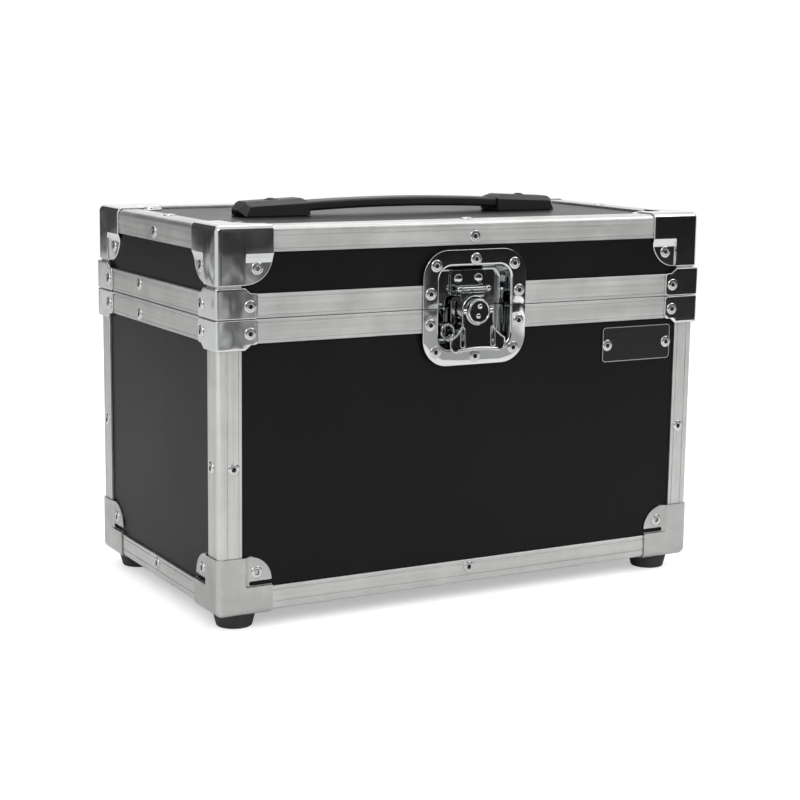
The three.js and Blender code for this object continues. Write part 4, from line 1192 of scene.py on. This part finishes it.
def rivetSpots():
    halfW, halfD, inset = shell["halfWidth"], shell["halfDepth"], rivets["edgeInset"]
    body, lid, bodyHinge, lidHinge = [], [], [], []
    for _, _, sx, sy in corners:
        for listed, places in ((body, rivets["bodyCorner"]), (lid, rivets["lidCorner"])):
            for x, y, out, z in places:
                listed += [((sx * x, sy * (halfD + out), z), outwards("y", sy)),
                           ((sx * (halfW + out), sy * y, z), outwards("x", sx))]
        x, y, out = rivets["lidCornerTop"]
        lid.append(((sx * x, sy * y, shell["top"] + out), outwards("z", 1)))
    for side in (-1, 1):
        front, across = outwards("y", -1), outwards("x", side)
        for k, (listed, face, up, dish) in enumerate((
                (body, shell["bottom"], -1, rivets["dishBody"]),
                (lid, shell["top"], 1, rivets["dishLid"]))):
            level = rivets["edgeHeights"][k]
            rimX = side * (halfW + rim["proud"])
            listed += [((0, side * halfD, level), outwards("y", side)),
                       ((side * halfW, 0, level), across),
                       ((0, side * (halfD - inset), face), outwards("z", up)),
                       ((side * (halfW - inset), 0, face), outwards("z", up)),
                       ((rimX, rivets["rimY"], rivets["rimHeights"][k]), across)]
            listed += [((side * x, rivets["dishY"], z), front) for x, z in dish]
        for step in (-1, 0, 1):
            x = side * rivets["hingeX"] + step * rivets["hingePitch"]
            for listed, z in zip((bodyHinge, lidHinge), rivets["hingeHeights"]):
                listed.append(((x, rivets["hingeY"], z), outwards("y", 1)))
        plateX = rivets["plateX"] + side * rivets["plateReach"]
        body.append(((plateX, rivets["plateY"], rivets["plateHeight"]), front))
    for listed, z in zip((body, lid), rivets["dishMiddle"]):
        listed.append(((0, rivets["dishY"], z), front))
    return body, lid, bodyHinge, lidHinge


def buildRivets():
    tree = rivetTree()
    body, lid, bodyHinge, lidHinge = rivetSpots()
    rivetRow("bodyRivets", tree, body, caseBody, rivets)
    rivetRow("lidRivets", tree, lid, lidBody, rivets)
    rivetRow("bodySmallRivets", tree, bodyHinge, caseBody, rivets["small"])
    rivetRow("lidSmallRivets", tree, lidHinge, lidBody, rivets["small"])


buildRivets()


print("stage: bare plate")

plate = {"left": 114.65, "right": 177.95, "low": 168.6, "high": 195.5, "radius": 3.1,
         "cornerSteps": 6, "face": -110.7, "back": -109.85, "edgeRound": 0.25,
         "line": 0.55, "lineInset": 0.35, "raise": 0.06, "sunk": 0.1}


def buildPlate():
    width, height = plate["right"] - plate["left"], plate["high"] - plate["low"]
    cx, cz = (plate["left"] + plate["right"]) / 2, (plate["low"] + plate["high"]) / 2
    whole, outer, inner = (
        roundedRect(width - 2 * cut, height - 2 * cut, plate["radius"] - cut,
                    plate["cornerSteps"], cx, cz)
        for cut in (0, plate["lineInset"], plate["lineInset"] + plate["line"]))
    sheet = prismPiece("barePlate", whole, plate["back"], plate["face"], onFront)
    sheet = smoothed(bevelled(sheet, plate["edgeRound"], 2, 50), 32)
    placed(sheet, caseBody, (), blackAnodised)
    count = len(outer)
    verts = [(a, y, b) for y in (plate["face"] - plate["raise"], plate["face"] + plate["sunk"])
             for ring in (outer, inner) for a, b in ring]
    faces = []
    for k in range(count):
        m = (k + 1) % count
        faces += [(k + one * count, m + one * count, m + two * count, k + two * count)
                  for one, two in ((0, 1), (0, 2), (1, 3), (2, 3))]
    line = smoothed(solidPiece("plateBorder", verts, faces), 32)
    placed(line, caseBody, (), satin)


buildPlate()


print("stage: latch")

# Depths count outwards from the face of the dish, heights from the joint or the hub
latch = {
    "face": -113.7, "hubX": -1.5, "hubY": -2.1, "gap": 0.3, "floor": -11.8, "sheetTop": -10.3,
    "sheetEdge": 0.35,
}
dish = {
    "width": 85.8, "height": 83.0, "radius": 20.0, "depth": 12.0, "flange": 1.2,
    "recessWidth": 60.0, "recessHeight": 59.4, "recessRadius": 10.0, "draft": 2.5,
    "roll": 1.7, "floorRound": 2.4, "edgeRound": 0.2, "dullFrom": 4.0,
}
hub = {
    "shaft": (5.0, -11.8, -8.0, 0.2), "cam": (8.0, -8.37, -6.43, 0.2), "camDrop": 3.0,
    "ring": (10.8, -6.42, 2.5, 0.9), "discLean": 0.035, "discTop": 8.05,
    "disc": [(0.0, 1.0), (9.0, 1.0), (9.0, 7.8), (8.85, 8.2), (8.55, 8.45), (8.2, 8.5),
             (7.9, 8.42), (7.7, 8.15), (7.5, 8.05), (0.0, 8.05)],
    "discRivets": [(0.55, 3.5), (-0.75, -3.4)], "discRivet": (1.9, 1.0),
    "pinDepth": 5.2, "pinReach": 12.6, "pinRadius": 1.0, "pinRound": (0.1, 0.2),
}
wing = {
    "back": 4.4, "thick": 1.6, "eye": 9.55, "neckHalf": 12.4, "half": 22.5, "neckY": -8.0,
    "shoulderY": -20.0, "bottomY": -29.0, "corner": 5.0, "dip": 1.4, "lean": 0.055,
    "edgeRound": 0.45, "slotX": 12.6, "slotY": -18.5, "slot": (14, 3), "slotRim": (14.6, 3.6),
    "knuckle": 2.0, "knuckleSpan": (9.6, 12.4), "knuckleRound": (0.2, 0.2),
    "rimBead": (0.75, 0.35), "lipBead": (1.15, 0.1), "slotBead": (0.5, 0.15),  # radius, sunk
    "lipHalf": 17.5, "lipRise": (1.0, 3.8), "beadEnd": 0.35,
}
hook = {
    "back": -8.2, "front": -6.6, "yoke": (29.0, 23.8, 2.5), "hole": (23.0, 17.8, 1.0),
    "x": 1.5, "armHalf": 10, "armFrom": 10.0, "barHalf": 12.0, "barY": 12.6,
    "barRadius": 1.7, "barDepth": -6.2, "ballRadius": 2.7, "ballDepth": -5.5,
    "ledgeHalf": 9, "ledgeDrop": (3.2, 1.2), "ledgeRise": (-0.4, 1.5),
}
keeper = {
    "plate": (30, 18.7, 3), "middleY": 16.35, "ledgeLow": (-11, 7.2, -11.0),
    "ledgeHigh": (11, 9.2, -8.55), "rivetX": 8.5, "rivetY": 19.8, "rivet": (3.5, 1.3),
    "base": (34, 25.4, 4), "baseY": -13.3, "baseRivetX": 13.0, "baseRivetY": -21.8,
    "baseRivet": (1.7, 0.9),
}
eye = {"x": -20.0, "y": -17.3, "radius": 6.2, "hole": 4.4, "half": 5.0, "foot": 7.2,
       "footTop": -10.2, "wall": 1.6, "tab": (-6.0, -4.4), "edgeRound": 0.3, "bead": (0.8, 0.7),
       "beadDepth": 4.5}


def latchPoint(x, y, z):
    return x, latch["face"] - z, shell["joint"] + y


def hubPoint(x, y, z):
    return latchPoint(latch["hubX"] + x, latch["hubY"] + y, z)


def wingPoint(x, y, z):
    return hubPoint(x, y, z - wing["lean"] * min(y, 0))  # the wing hangs a little proud


def halfRing(width, height, radius, side, steps=12):
    x, y, gap = width / 2 - radius, height / 2 - radius, latch["gap"]
    points = [(width / 2, gap), (width / 2, y * 0.5)]
    points += arcPoints(x, y, radius, 0, 90, steps)
    points += [(0.0, height / 2)]
    points += arcPoints(-x, y, radius, 90, 180, steps)
    points += [(-width / 2, y * 0.5), (-width / 2, gap)]
    return [(a, side * b) for a, b in points]


def dishRings(side):
    # From the rolled outer edge over the flange, down the wall and round to the floor
    outer = (dish["width"], dish["height"], dish["radius"])
    recess = (dish["recessWidth"], dish["recessHeight"], dish["recessRadius"])
    between = tuple((a + b + 2 * c) / 2 for a, b, c in zip(outer, recess, (1.5, 1.5, 0.75)))
    roll, curve, deep = dish["roll"], dish["floorRound"], -dish["depth"]
    stations = [(outer, 0.0, -0.5), (outer, -0.12, -0.2), (outer, -0.4, 0.0), (between, 0, 0.0)]
    stations += [(recess, roll * (1 - math.sin(t)), -roll * (1 - math.cos(t)))
                 for t in turns(15, 0, 6)]
    stations += [(recess, -dish["draft"] * 0.45, deep * 0.5)]
    stations += [(recess, -dish["draft"] - curve * (1 - math.cos(t)) + 0.4,
                  deep + curve * (1 - math.sin(t))) for t in turns(18, 0, 5)]
    return [[latchPoint(a, b, depth)
             for a, b in halfRing(width + 2 * grow, height + 2 * grow, radius + grow, side)]
            for (width, height, radius), grow, depth in stations]


def buildDishHalf(name, side, body, node):
    rings = dishRings(side)
    count = len(rings[0])
    verts = [point for ring in rings for point in ring]
    faces = gridFaces(len(rings), count) + [tuple(range(len(verts) - count, len(verts)))]
    piece = solidPiece(name, verts, faces)
    floor = max(piece.data.polygons, key=lambda p: p.area)
    if floor.normal.y > 0:
        piece.data.flip_normals()
    piece = smoothed(bevelled(thickened(piece, dish["flange"]), dish["edgeRound"], 2, 60))
    placed(piece, body, [node], chrome)
    piece.data.materials.append(recessChrome)  # the recess gets a slightly rougher and much darker chrome than the flange; the darkening is painted shade
    for polygon in piece.data.polygons:
        depth = polygon.center.y / mm - shell["shiftY"] - latch["face"]
        polygon.material_index = 1 if depth > dish["dullFrom"] else 0


def domeRivet(name, x, y, z, size, body):
    radius, height = size
    profile = [(0.0, z - 0.4), (radius, z - 0.4), (radius, z)]
    profile += [(radius * math.cos(t), z + height * math.sin(t)) for t in turns(15, 1, 6)]
    turned = [(r, latch["face"] - along) for r, along in profile]
    piece = lathePiece(name, turned, (x, 0, shell["joint"] + y), "y", 28)
    placed(smoothed(piece, 50), body, (), chrome)


def roundedDisc(radius, low, high, edge, steps=5):
    profile = [(0.0, low), (radius, low), (radius, high - edge)]
    profile += [(radius - edge * (1 - math.cos(t)), high - edge + edge * math.sin(t))
                for t in [math.radians(90 * k / steps) for k in range(1, steps + 1)]]
    return profile + [(0.0, high)]


def hubPiece(name, profile, y=0, segments=64):
    turned = [(r, latch["face"] - z) for r, z in profile]
    centre = (latch["hubX"], 0, shell["joint"] + latch["hubY"] + y)
    return lathePiece(name, turned, centre, "y", segments)


def buildHub():
    parts = [hubPiece("shaft", roundedDisc(*hub["shaft"]), 0, 40),
             hubPiece("cam", roundedDisc(*hub["cam"]), -hub["camDrop"], 56),
             hubPiece("ring", roundedDisc(*hub["ring"])), hubPiece("disc", hub["disc"])]
    for vertex in parts[-1].data.vertices:  # the plate leans back a little at its top
        vertex.co.y += hub["discLean"] * (vertex.co.z - (shell["joint"] + latch["hubY"]) * mm)
    placed(smoothed(joinedPieces("latchHub", parts), 35), "latch hub",
           ["latch_hub"], chrome)
    pin = barPiece("latchWingPin", hubPoint(0, 0, hub["pinDepth"]),
                   (-hub["pinReach"], hub["pinReach"]), hub["pinRadius"], hub["pinRound"], 20)
    placed(smoothed(pin, 32), "latch hub", ["latch_wing_pin"], chrome)
    for k, (x, y) in enumerate(hub["discRivets"]):
        domeRivet(f"discRivet{k}", latch["hubX"] + x, latch["hubY"] + y, hub["discTop"],
                  hub["discRivet"], "latch hub")


def curveBetween(start, control, end, steps=8):
    return [tuple((1 - t) ** 2 * a + 2 * t * (1 - t) * b + t * t * c
                  for a, b, c in zip(start, control, end))
            for t in [k / steps for k in range(steps + 1)]]


def wingOutline():
    neck, half, radius = wing["neckHalf"], wing["half"], wing["corner"]
    neckY, shoulder, bottom = wing["neckY"], wing["shoulderY"], wing["bottomY"]
    points = arcPoints(0, 0, wing["eye"], 0, -180, 26) + [(-neck, 0), (-neck, neckY)]
    points += curveBetween((-neck, neckY), (-neck, (shoulder + neckY) / 2), (-half, shoulder))[1:]
    points += arcPoints(-half + radius, bottom + radius, radius, 180, 270, 8)[1:]
    points += curveBetween((-half + radius, bottom), (0, bottom + 2 * wing["dip"]),
                           (half - radius, bottom), 14)[1:]
    points += arcPoints(half - radius, bottom + radius, radius, 270, 360, 8)[1:]
    points += [(half, shoulder)]
    points += curveBetween((half, shoulder), (neck, (shoulder + neckY) / 2), (neck, neckY))[1:]
    return points + [(neck, 0)]


def beadPiece(name, path, size, closed=False, sides=10):
    # A round bead pressed up from the wing along a path, thinner at its two ends
    count, (radius, sunk) = len(path), size
    depth = wing["back"] + wing["thick"] - sunk
    verts = []
    for k, (a, b) in enumerate(path):
        inner = closed or 0 < k < count - 1
        before = path[k - 1] if closed or k else path[k]
        after = path[(k + 1) % count] if closed or k < count - 1 else path[k]
        along = Vector((after[0] - before[0], after[1] - before[1])).normalized()
        share = 1.0 if inner else wing["beadEnd"]
        for m in range(sides):
            turn = 2 * math.pi * m / sides
            across = share * radius * math.cos(turn)
            verts.append(wingPoint(a + along.y * across, b - along.x * across,
                                   depth + share * radius * math.sin(turn)))
    faces = gridFaces(count, sides, ring=True, loop=closed)
    return solidPiece(name, verts, faces if closed else faces + endFaces(sides, len(verts)))


def buildWing():
    back, front = wing["back"], wing["back"] + wing["thick"]
    outline = wingOutline()
    body = prismPiece("latchWing", outline, back, front, wingPoint)
    slotPlaces = [(x, wing["slotY"]) for x in (-wing["slotX"], wing["slotX"])]
    slots = [prismPiece("slot", stadium(*wing["slot"], x, y, True), back - 4, front + 4,
                        hubPoint) for x, y in slotPlaces]
    parts = [bevelled(cutBy(body, slots), wing["edgeRound"], 3)]
    start = next(k for k, spot in enumerate(outline) if spot[1] < wing["neckY"] - 1)
    parts.append(beadPiece("wingRim", outline[start:-2], wing["rimBead"]))
    rise, bulge = wing["lipRise"]
    lip = curveBetween((-wing["lipHalf"], wing["bottomY"] + rise), (0, wing["bottomY"] + bulge),
                       (wing["lipHalf"], wing["bottomY"] + rise), 20)
    parts.append(beadPiece("wingLip", lip, wing["lipBead"]))
    parts += [beadPiece("slotRim", stadium(*wing["slotRim"], x, y, True), wing["slotBead"], True)
              for x, y in slotPlaces]
    near, far = wing["knuckleSpan"]
    parts += [barPiece("knuckle", hubPoint(0, 0, hub["pinDepth"]), ends, wing["knuckle"],
                       wing["knuckleRound"], 28) for ends in ((near, far), (-far, -near))]
    placed(smoothed(joinedPieces("latchWing", parts)), "latch wing",
           ["latch_wing"], chrome)


def buildHook():
    x, y, back, front = latch["hubX"], latch["hubY"] - hub["camDrop"], hook["back"], hook["front"]
    yoke = prismPiece("yoke", roundedRect(*hook["yoke"], 5, x, y), back, front, latchPoint)
    hole = prismPiece("hole", roundedRect(*hook["hole"], 3, x, y), back - 3, front + 3,
                      latchPoint)
    middle, half, barY, radius = hook["x"], hook["armHalf"], hook["barY"], hook["ballRadius"]
    arm = blockPiece("arm", (middle - half, y + hook["armFrom"], back),
                     (middle + half, barY, front), latchPoint)
    half, (low, high), (sunk, proud) = hook["ledgeHalf"], hook["ledgeDrop"], hook["ledgeRise"]
    ledge = blockPiece("ledge", (middle - half, barY - low, front + sunk),
                       (middle + half, barY - high, front + proud), latchPoint)
    half, thick = hook["barHalf"], hook["barRadius"]
    rod = [(0.0, -half), (thick, -half), (thick, half), (0.0, half)]
    parts = [bevelled(cutBy(yoke, [hole]), 0.3), bevelled(arm, 0.4), bevelled(ledge, 0.5, 3),
             lathePiece("bar", rod, latchPoint(middle, barY, hook["barDepth"]), "x", 28)]
    profile = [(radius * math.sin(t), -radius * math.cos(t)) for t in turns(15, 0, 12)]
    parts += [lathePiece("ball", profile, latchPoint(middle + side * half, barY,
                                                     hook["ballDepth"]), "x", 28)
              for side in (-1, 1)]
    placed(smoothed(joinedPieces("latchHook", parts)), "latch hook",
           ["latch_hook"], recessChrome)


def backPlate(name, size, x, y):
    plate = prismPiece(name, roundedRect(*size, 7, x, y), latch["floor"], latch["sheetTop"],
                       latchPoint)
    return bevelled(plate, latch["sheetEdge"])


def buildBacking():
    base = backPlate("latchBasePlate", keeper["base"], latch["hubX"], keeper["baseY"])
    placed(smoothed(base), caseBody, ["latch_base_plate"], recessChrome)
    ledge = blockPiece("ledge", keeper["ledgeLow"], keeper["ledgeHigh"], latchPoint)
    parts = [backPlate("keeper", keeper["plate"], 0, keeper["middleY"]), bevelled(ledge, 0.4)]
    placed(smoothed(joinedPieces("latchKeeper", parts)), lidBody,
           ["latch_keeper"], recessChrome)
    for side in (-1, 1):
        domeRivet(f"keeperRivet{side + 1}", side * keeper["rivetX"], keeper["rivetY"],
                  latch["sheetTop"], keeper["rivet"], lidBody)
        domeRivet(f"baseRivet{side + 1}", latch["hubX"] + side * keeper["baseRivetX"],
                  keeper["baseRivetY"], latch["sheetTop"], keeper["baseRivet"], caseBody)


def buildEye():
    x, y, radius, half = eye["x"], eye["y"], eye["radius"], eye["half"]
    wall, low, high, floor = x - radius, y - half, y + half, latch["floor"]
    back, front = eye["tab"]
    foot = blockPiece("foot", (wall, low, floor), (wall + eye["foot"], high, eye["footTop"]),
                      latchPoint)
    riser = blockPiece("riser", (wall, low, floor), (wall + eye["wall"], high, front),
                       latchPoint)
    reach = 180 - math.degrees(math.asin(half / radius))
    outline = arcPoints(x, y, radius, -reach, reach, 30) + [(wall, high), (wall, low)]
    tab = prismPiece("tab", outline, back, front, latchPoint)
    hole = prismPiece("hole", arcPoints(x, y, eye["hole"], 0, 350, 35), back - 3, front + 3.4,
                      latchPoint)
    parts = [bevelled(part, eye["edgeRound"]) for part in (foot, riser, cutBy(tab, [hole]))]
    across, proud = eye["bead"]
    bead = [((eye["hole"] + across) - across * math.cos(t),
             latch["face"] + eye["beadDepth"] - proud * math.sin(t)) for t in turns(20, 0, 18)]
    parts.append(lathePiece("eyeBead", bead, (x, 0, shell["joint"] + y), "y", 40))
    placed(smoothed(joinedPieces("padlockEye", parts)), caseBody,
           ["padlock_eye"], chrome)


buildDishHalf("latchDishLower", -1, caseBody, "latch_dish_lower")
buildDishHalf("latchDishUpper", 1, lidBody, "latch_dish_upper")
buildHub()
buildWing()
buildHook()
buildBacking()
buildEye()


print("stage: handle, feet, hinges and foam")

handle = {
    "tip": 137.2, "root": 81.7, "width": 26.0, "top": 11.0, "fall": 2.0, "slope": 6.5,
    "undercut": 3.5, "noseLift": 4.2, "shoulder": 4.5, "shoulderDrop": 2.6, "bevel": 1.7,
    "edgeDrop": 3.4, "edgeWidth": 6.0, "cheekX": 130.5, "cheekZ": 284.0,
    "cheekFacing": (1.0, 0.75, 0.45), "screwFromTip": 29.0, "seat": (11.0, 10.0),
    "seatDeep": 1.0, "screwDrop": 0.6, "screwRadius": 4.3, "panelTop": 277.2,
}
strap = {"width": 21.0, "thick": 7.0, "round": 1.9, "lift": 2.2, "rise": 2.8, "entry": 12.0,
         "play": 0.4, "steps": 48}


def strapPiece(name, grow, half):
    base = handle["panelTop"] + shell["seatGap"] + strap["lift"] - grow
    thick, steps = strap["thick"] + 2 * grow, strap["steps"]
    section = roundedRect(strap["width"] + 2 * grow, thick, strap["round"] + grow, 5)
    reach = handle["root"] + strap["entry"]
    verts = []
    for s in range(steps + 1):
        x = -half + 2 * half * s / steps
        rise = strap["rise"] * (1 - (x / reach) ** 2)
        verts += [(x, a, base + thick / 2 + rise + b) for a, b in section]
    count = len(section)
    faces = gridFaces(steps + 1, count, ring=True) + endFaces(count, len(verts))
    return solidPiece(name, verts, faces)


def capPiece(name, side):
    tip, root, half = handle["tip"], handle["root"], handle["width"] / 2
    low, top = handle["panelTop"] + shell["seatGap"], shell["top"] + handle["top"]
    outline = [
        (root, low), (tip - handle["undercut"], low), (tip, low + handle["noseLift"]),
        (tip - handle["slope"], top - handle["fall"]), (root + handle["shoulder"], top),
        (root, top - handle["shoulderDrop"]),
    ]
    cap = prismPiece(name, outline, -half, half, lambda a, b, c: (side * a, c, b))
    pitch = handle["fall"] / (tip - handle["slope"] - root)
    steep = handle["edgeDrop"] / handle["edgeWidth"]
    endwise, sideways, upwards = handle["cheekFacing"]
    cuts = []
    for across in (-1, 1):  # both outer corners and both long top edges are cut away
        cuts.append(((side * handle["cheekX"], across * half, handle["cheekZ"]),
                     (side * endwise, across * sideways, upwards)))
        cuts.append(((side * root, across * half, top - handle["edgeDrop"]),
                     (side * pitch, across * steep, 1)))
    with editing(cap.data) as work:
        for (x, y, z), facing in cuts:
            cut = bmesh.ops.bisect_plane(
                work, geom=work.verts[:] + work.edges[:] + work.faces[:],
                plane_co=Vector((x, y + shell["shiftY"], z)) * mm,
                plane_no=Vector(facing).normalized(), clear_outer=True)
            edges = [e for e in cut["geom_cut"] if isinstance(e, bmesh.types.BMEdge)]
            bmesh.ops.contextual_create(work, geom=edges)
        bmesh.ops.recalc_face_normals(work, faces=work.faces)
    cap = bevelled(cap, handle["bevel"], 3, 8)
    seatX, seatTop = side * (tip - handle["screwFromTip"]), top - handle["fall"] / 2
    seat = prismPiece("seat", stadium(*handle["seat"], seatX, 0), seatTop - handle["seatDeep"],
                      seatTop + 6, asDrawn)
    tunnel = strapPiece("tunnel", strap["play"], root + strap["entry"] + 0.6)
    return smoothed(cutBy(cap, [seat, tunnel]), 38), seatX, seatTop - handle["screwDrop"]


# Shares of the head's radius; the arms are those of the cross in it
screw = {
    "profile": [(0.0, -0.6), (1, -0.6), (1, 0.0), (0.93, 0.35), (0.72, 0.72), (0.42, 0.92),
                (0.0, 1.0)],
    "rise": 0.42, "armTurns": (25, 115), "armHalf": 0.62, "armWide": 0.13,
    "armFloor": 0.06, "armTop": 0.9,
}


def screwHead(name, spot, radius, up, body, metal):
    x, y, z = spot
    profile = [(radius * share, z + up * h * radius * screw["rise"])
               for share, h in screw["profile"]]
    head = lathePiece(name, profile, (x, y, 0))
    deep, high = sorted(z + up * radius * share for share in (screw["armFloor"], screw["armTop"]))
    arms = []
    for a in map(math.radians, screw["armTurns"]):
        lengthwise = Vector((math.cos(a), math.sin(a)))
        crosswise = Vector((-math.sin(a), math.cos(a)))
        ring = [lengthwise * i * radius * screw["armHalf"]
                + crosswise * j * radius * screw["armWide"]
                for i, j in ((-1, -1), (1, -1), (1, 1), (-1, 1))]
        arms.append(prismPiece("drive", [(x + p.x, y + p.y) for p in ring], deep, high, asDrawn))
    placed(smoothed(cutBy(head, arms)), body, (), metal)


def buildHandle():
    piece = smoothed(strapPiece("handleStrap", 0.0, handle["root"] + strap["entry"]))
    placed(piece, lidBody, ["handle_strap"], handlePlastic)
    for side, word in ((-1, "Left"), (1, "Right")):
        cap, x, z = capPiece("handleCap" + word, side)
        placed(cap, lidBody, ["handle_cap_" + word.lower()], handlePlastic)
        screwHead("handleScrew" + word, (x, 0, z), handle["screwRadius"], 1, lidBody,
                  rubber)


foot = {
    "height": 11.0, "top": 15.4, "bottom": 12.8, "inset": 20.5, "recess": 4.0,
    "recessDepth": 5.0, "recessEdge": 0.4, "round": 1.0, "topEdge": (0.25, 0.8, 0.5),
    "screwRadius": 3.1,
}


def buildFeet():
    edge, flat = foot["round"], foot["bottom"] - foot["round"]
    top, height, recess, deep = (foot[key] for key in ("top", "height", "recess", "recessDepth"))
    inward, lower, upper = foot["topEdge"]
    profile = [(0.0, deep), (recess, deep), (recess, foot["recessEdge"]),
               (recess + foot["recessEdge"], 0.0), (flat, 0.0)]
    profile += [(flat + edge * math.sin(t), edge - edge * math.cos(t)) for t in turns(18, 1, 5)]
    profile += [(top - inward, height - lower), (top, height - upper), (top, height),
                (0.0, height)]
    for word, node, sx, sy in corners:
        x = sx * (shell["halfWidth"] - foot["inset"])
        y = sy * (shell["halfDepth"] - foot["inset"])
        piece = smoothed(lathePiece("foot" + word, profile, (x, y, 0), "z", 56), 35)
        placed(piece, caseBody, [f"foot_{node}"], rubber)
        screwHead("footScrew" + word, (x, y, deep), foot["screwRadius"], -1, caseBody,
                  satin)


hinge = {
    "x": 110.0, "width": 60.0, "leaf": 16.0, "thick": 1.6, "corner": 1.6, "knuckle": 3.4,
    "knuckleEdge": (0.25, 0.25), "axisY": 116.1, "leafY": 112.5, "knuckles": 5, "gap": 0.35,
    "wrapPast": 0.4, "pin": (3.0, 3.1, 2.4), "pinHead": (0.2, 0.4, 1.2, 0.1),
}


def buildLeaf(word, centre, leafSide, own, body, label):
    # One leaf with every second knuckle and the sheet that wraps into each
    near, half = hinge["knuckle"] + hinge["gap"], hinge["width"] / 2
    back, front = hinge["leafY"], hinge["leafY"] + hinge["thick"]
    pitch, joint = hinge["width"] / hinge["knuckles"], shell["joint"]
    outline = roundedRect(hinge["width"], hinge["leaf"] - near, hinge["corner"], 5, centre,
                          joint + leafSide * (hinge["leaf"] + near) / 2)
    parts = [bevelled(prismPiece("leaf", outline, back, front, onFront), 0.3)]
    for k in range(own, hinge["knuckles"], 2):
        low = centre - half + k * pitch + hinge["gap"] / 2
        high = low + pitch - hinge["gap"]
        parts.append(barPiece("barrel", (0, hinge["axisY"], joint), (low, high),
                              hinge["knuckle"], hinge["knuckleEdge"]))
        parts.append(blockPiece("wrap", (low, joint, back),
                                (high, joint + leafSide * (near + hinge["wrapPast"]), front),
                                onFront))
    placed(smoothed(joinedPieces(f"{label}Leaf{word}", parts)), body,
           [f"hinge_{label}_leaf_{word.lower()}"], satin)


def buildHinges():
    for side, word in ((-1, "Left"), (1, "Right")):
        centre = side * hinge["x"]
        buildLeaf(word, centre, -1, 0, caseBody, "lower")
        buildLeaf(word, centre, 1, 1, lidBody, "upper")
        play, wide, length, edge = hinge["pinHead"]
        start, end = hinge["width"] / 2 + play, hinge["width"] / 2 + length
        inner, widest, outer = hinge["pin"]
        heads = []
        for sign in (-1, 1):
            profile = [(radius, centre + sign * along) for radius, along in (
                (0.0, start), (inner, start), (widest, start + wide), (outer, end - edge),
                (0.0, end))]
            heads.append(lathePiece("pinHead", profile, (0, hinge["axisY"], shell["joint"]), "x"))
        placed(smoothed(joinedPieces("hingePin" + word, heads)), caseBody,
               [f"hinge_pin_{word.lower()}"], satin)


foamShape = {
    "halfX": 190.8, "halfY": 102.8, "corner": 1.2, "round": 1.6, "pocket": 29.0,
    "pocketFloor": 30, "columns": (-118.0, 0.0, 118.0), "rows": (-46.0, 46.0),
    "floorPad": (21.0, 40.8), "block": (41.5, 200.6), "lidPad": (255.7, 270.4),
    "notchHalf": 36, "notchBack": -100.0, "notchFloor": 175.3,
}


def softBlock(name, heights, body, node, cutters=()):
    outline = roundedRect(2 * foamShape["halfX"], 2 * foamShape["halfY"], foamShape["corner"], 3)
    piece = cutBy(prismPiece(name, outline, *heights, asDrawn), cutters)
    piece = smoothed(bevelled(piece, foamShape["round"], 3))
    placed(piece, body, [node], foam)


def buildFoam():
    softBlock("foamFloorPad", foamShape["floorPad"], caseBody, "foam_floor_pad")
    cutters = [prismPiece("pocket", arcPoints(x, y, foamShape["pocket"], 0, 354, 59),
                          foamShape["pocketFloor"], 220, asDrawn)
               for x in foamShape["columns"] for y in foamShape["rows"]]
    half = foamShape["notchHalf"]  # the latch's dish stands in this notch
    cutters.append(blockPiece("notch", (-half, -140, foamShape["notchFloor"]),
                              (half, foamShape["notchBack"], 230), asDrawn))
    softBlock("foamBlock", foamShape["block"], caseBody, "foam_block", cutters)
    softBlock("lidFoamPad", foamShape["lidPad"], lidBody, "lid_foam_pad")


buildHandle()
buildFeet()
buildHinges()
buildFoam()


print("stage: panels")

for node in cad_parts:
    if node.endswith("_panel"):
        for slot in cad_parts[node].material_slots:
            slot.material = laminate

print("stage: done")
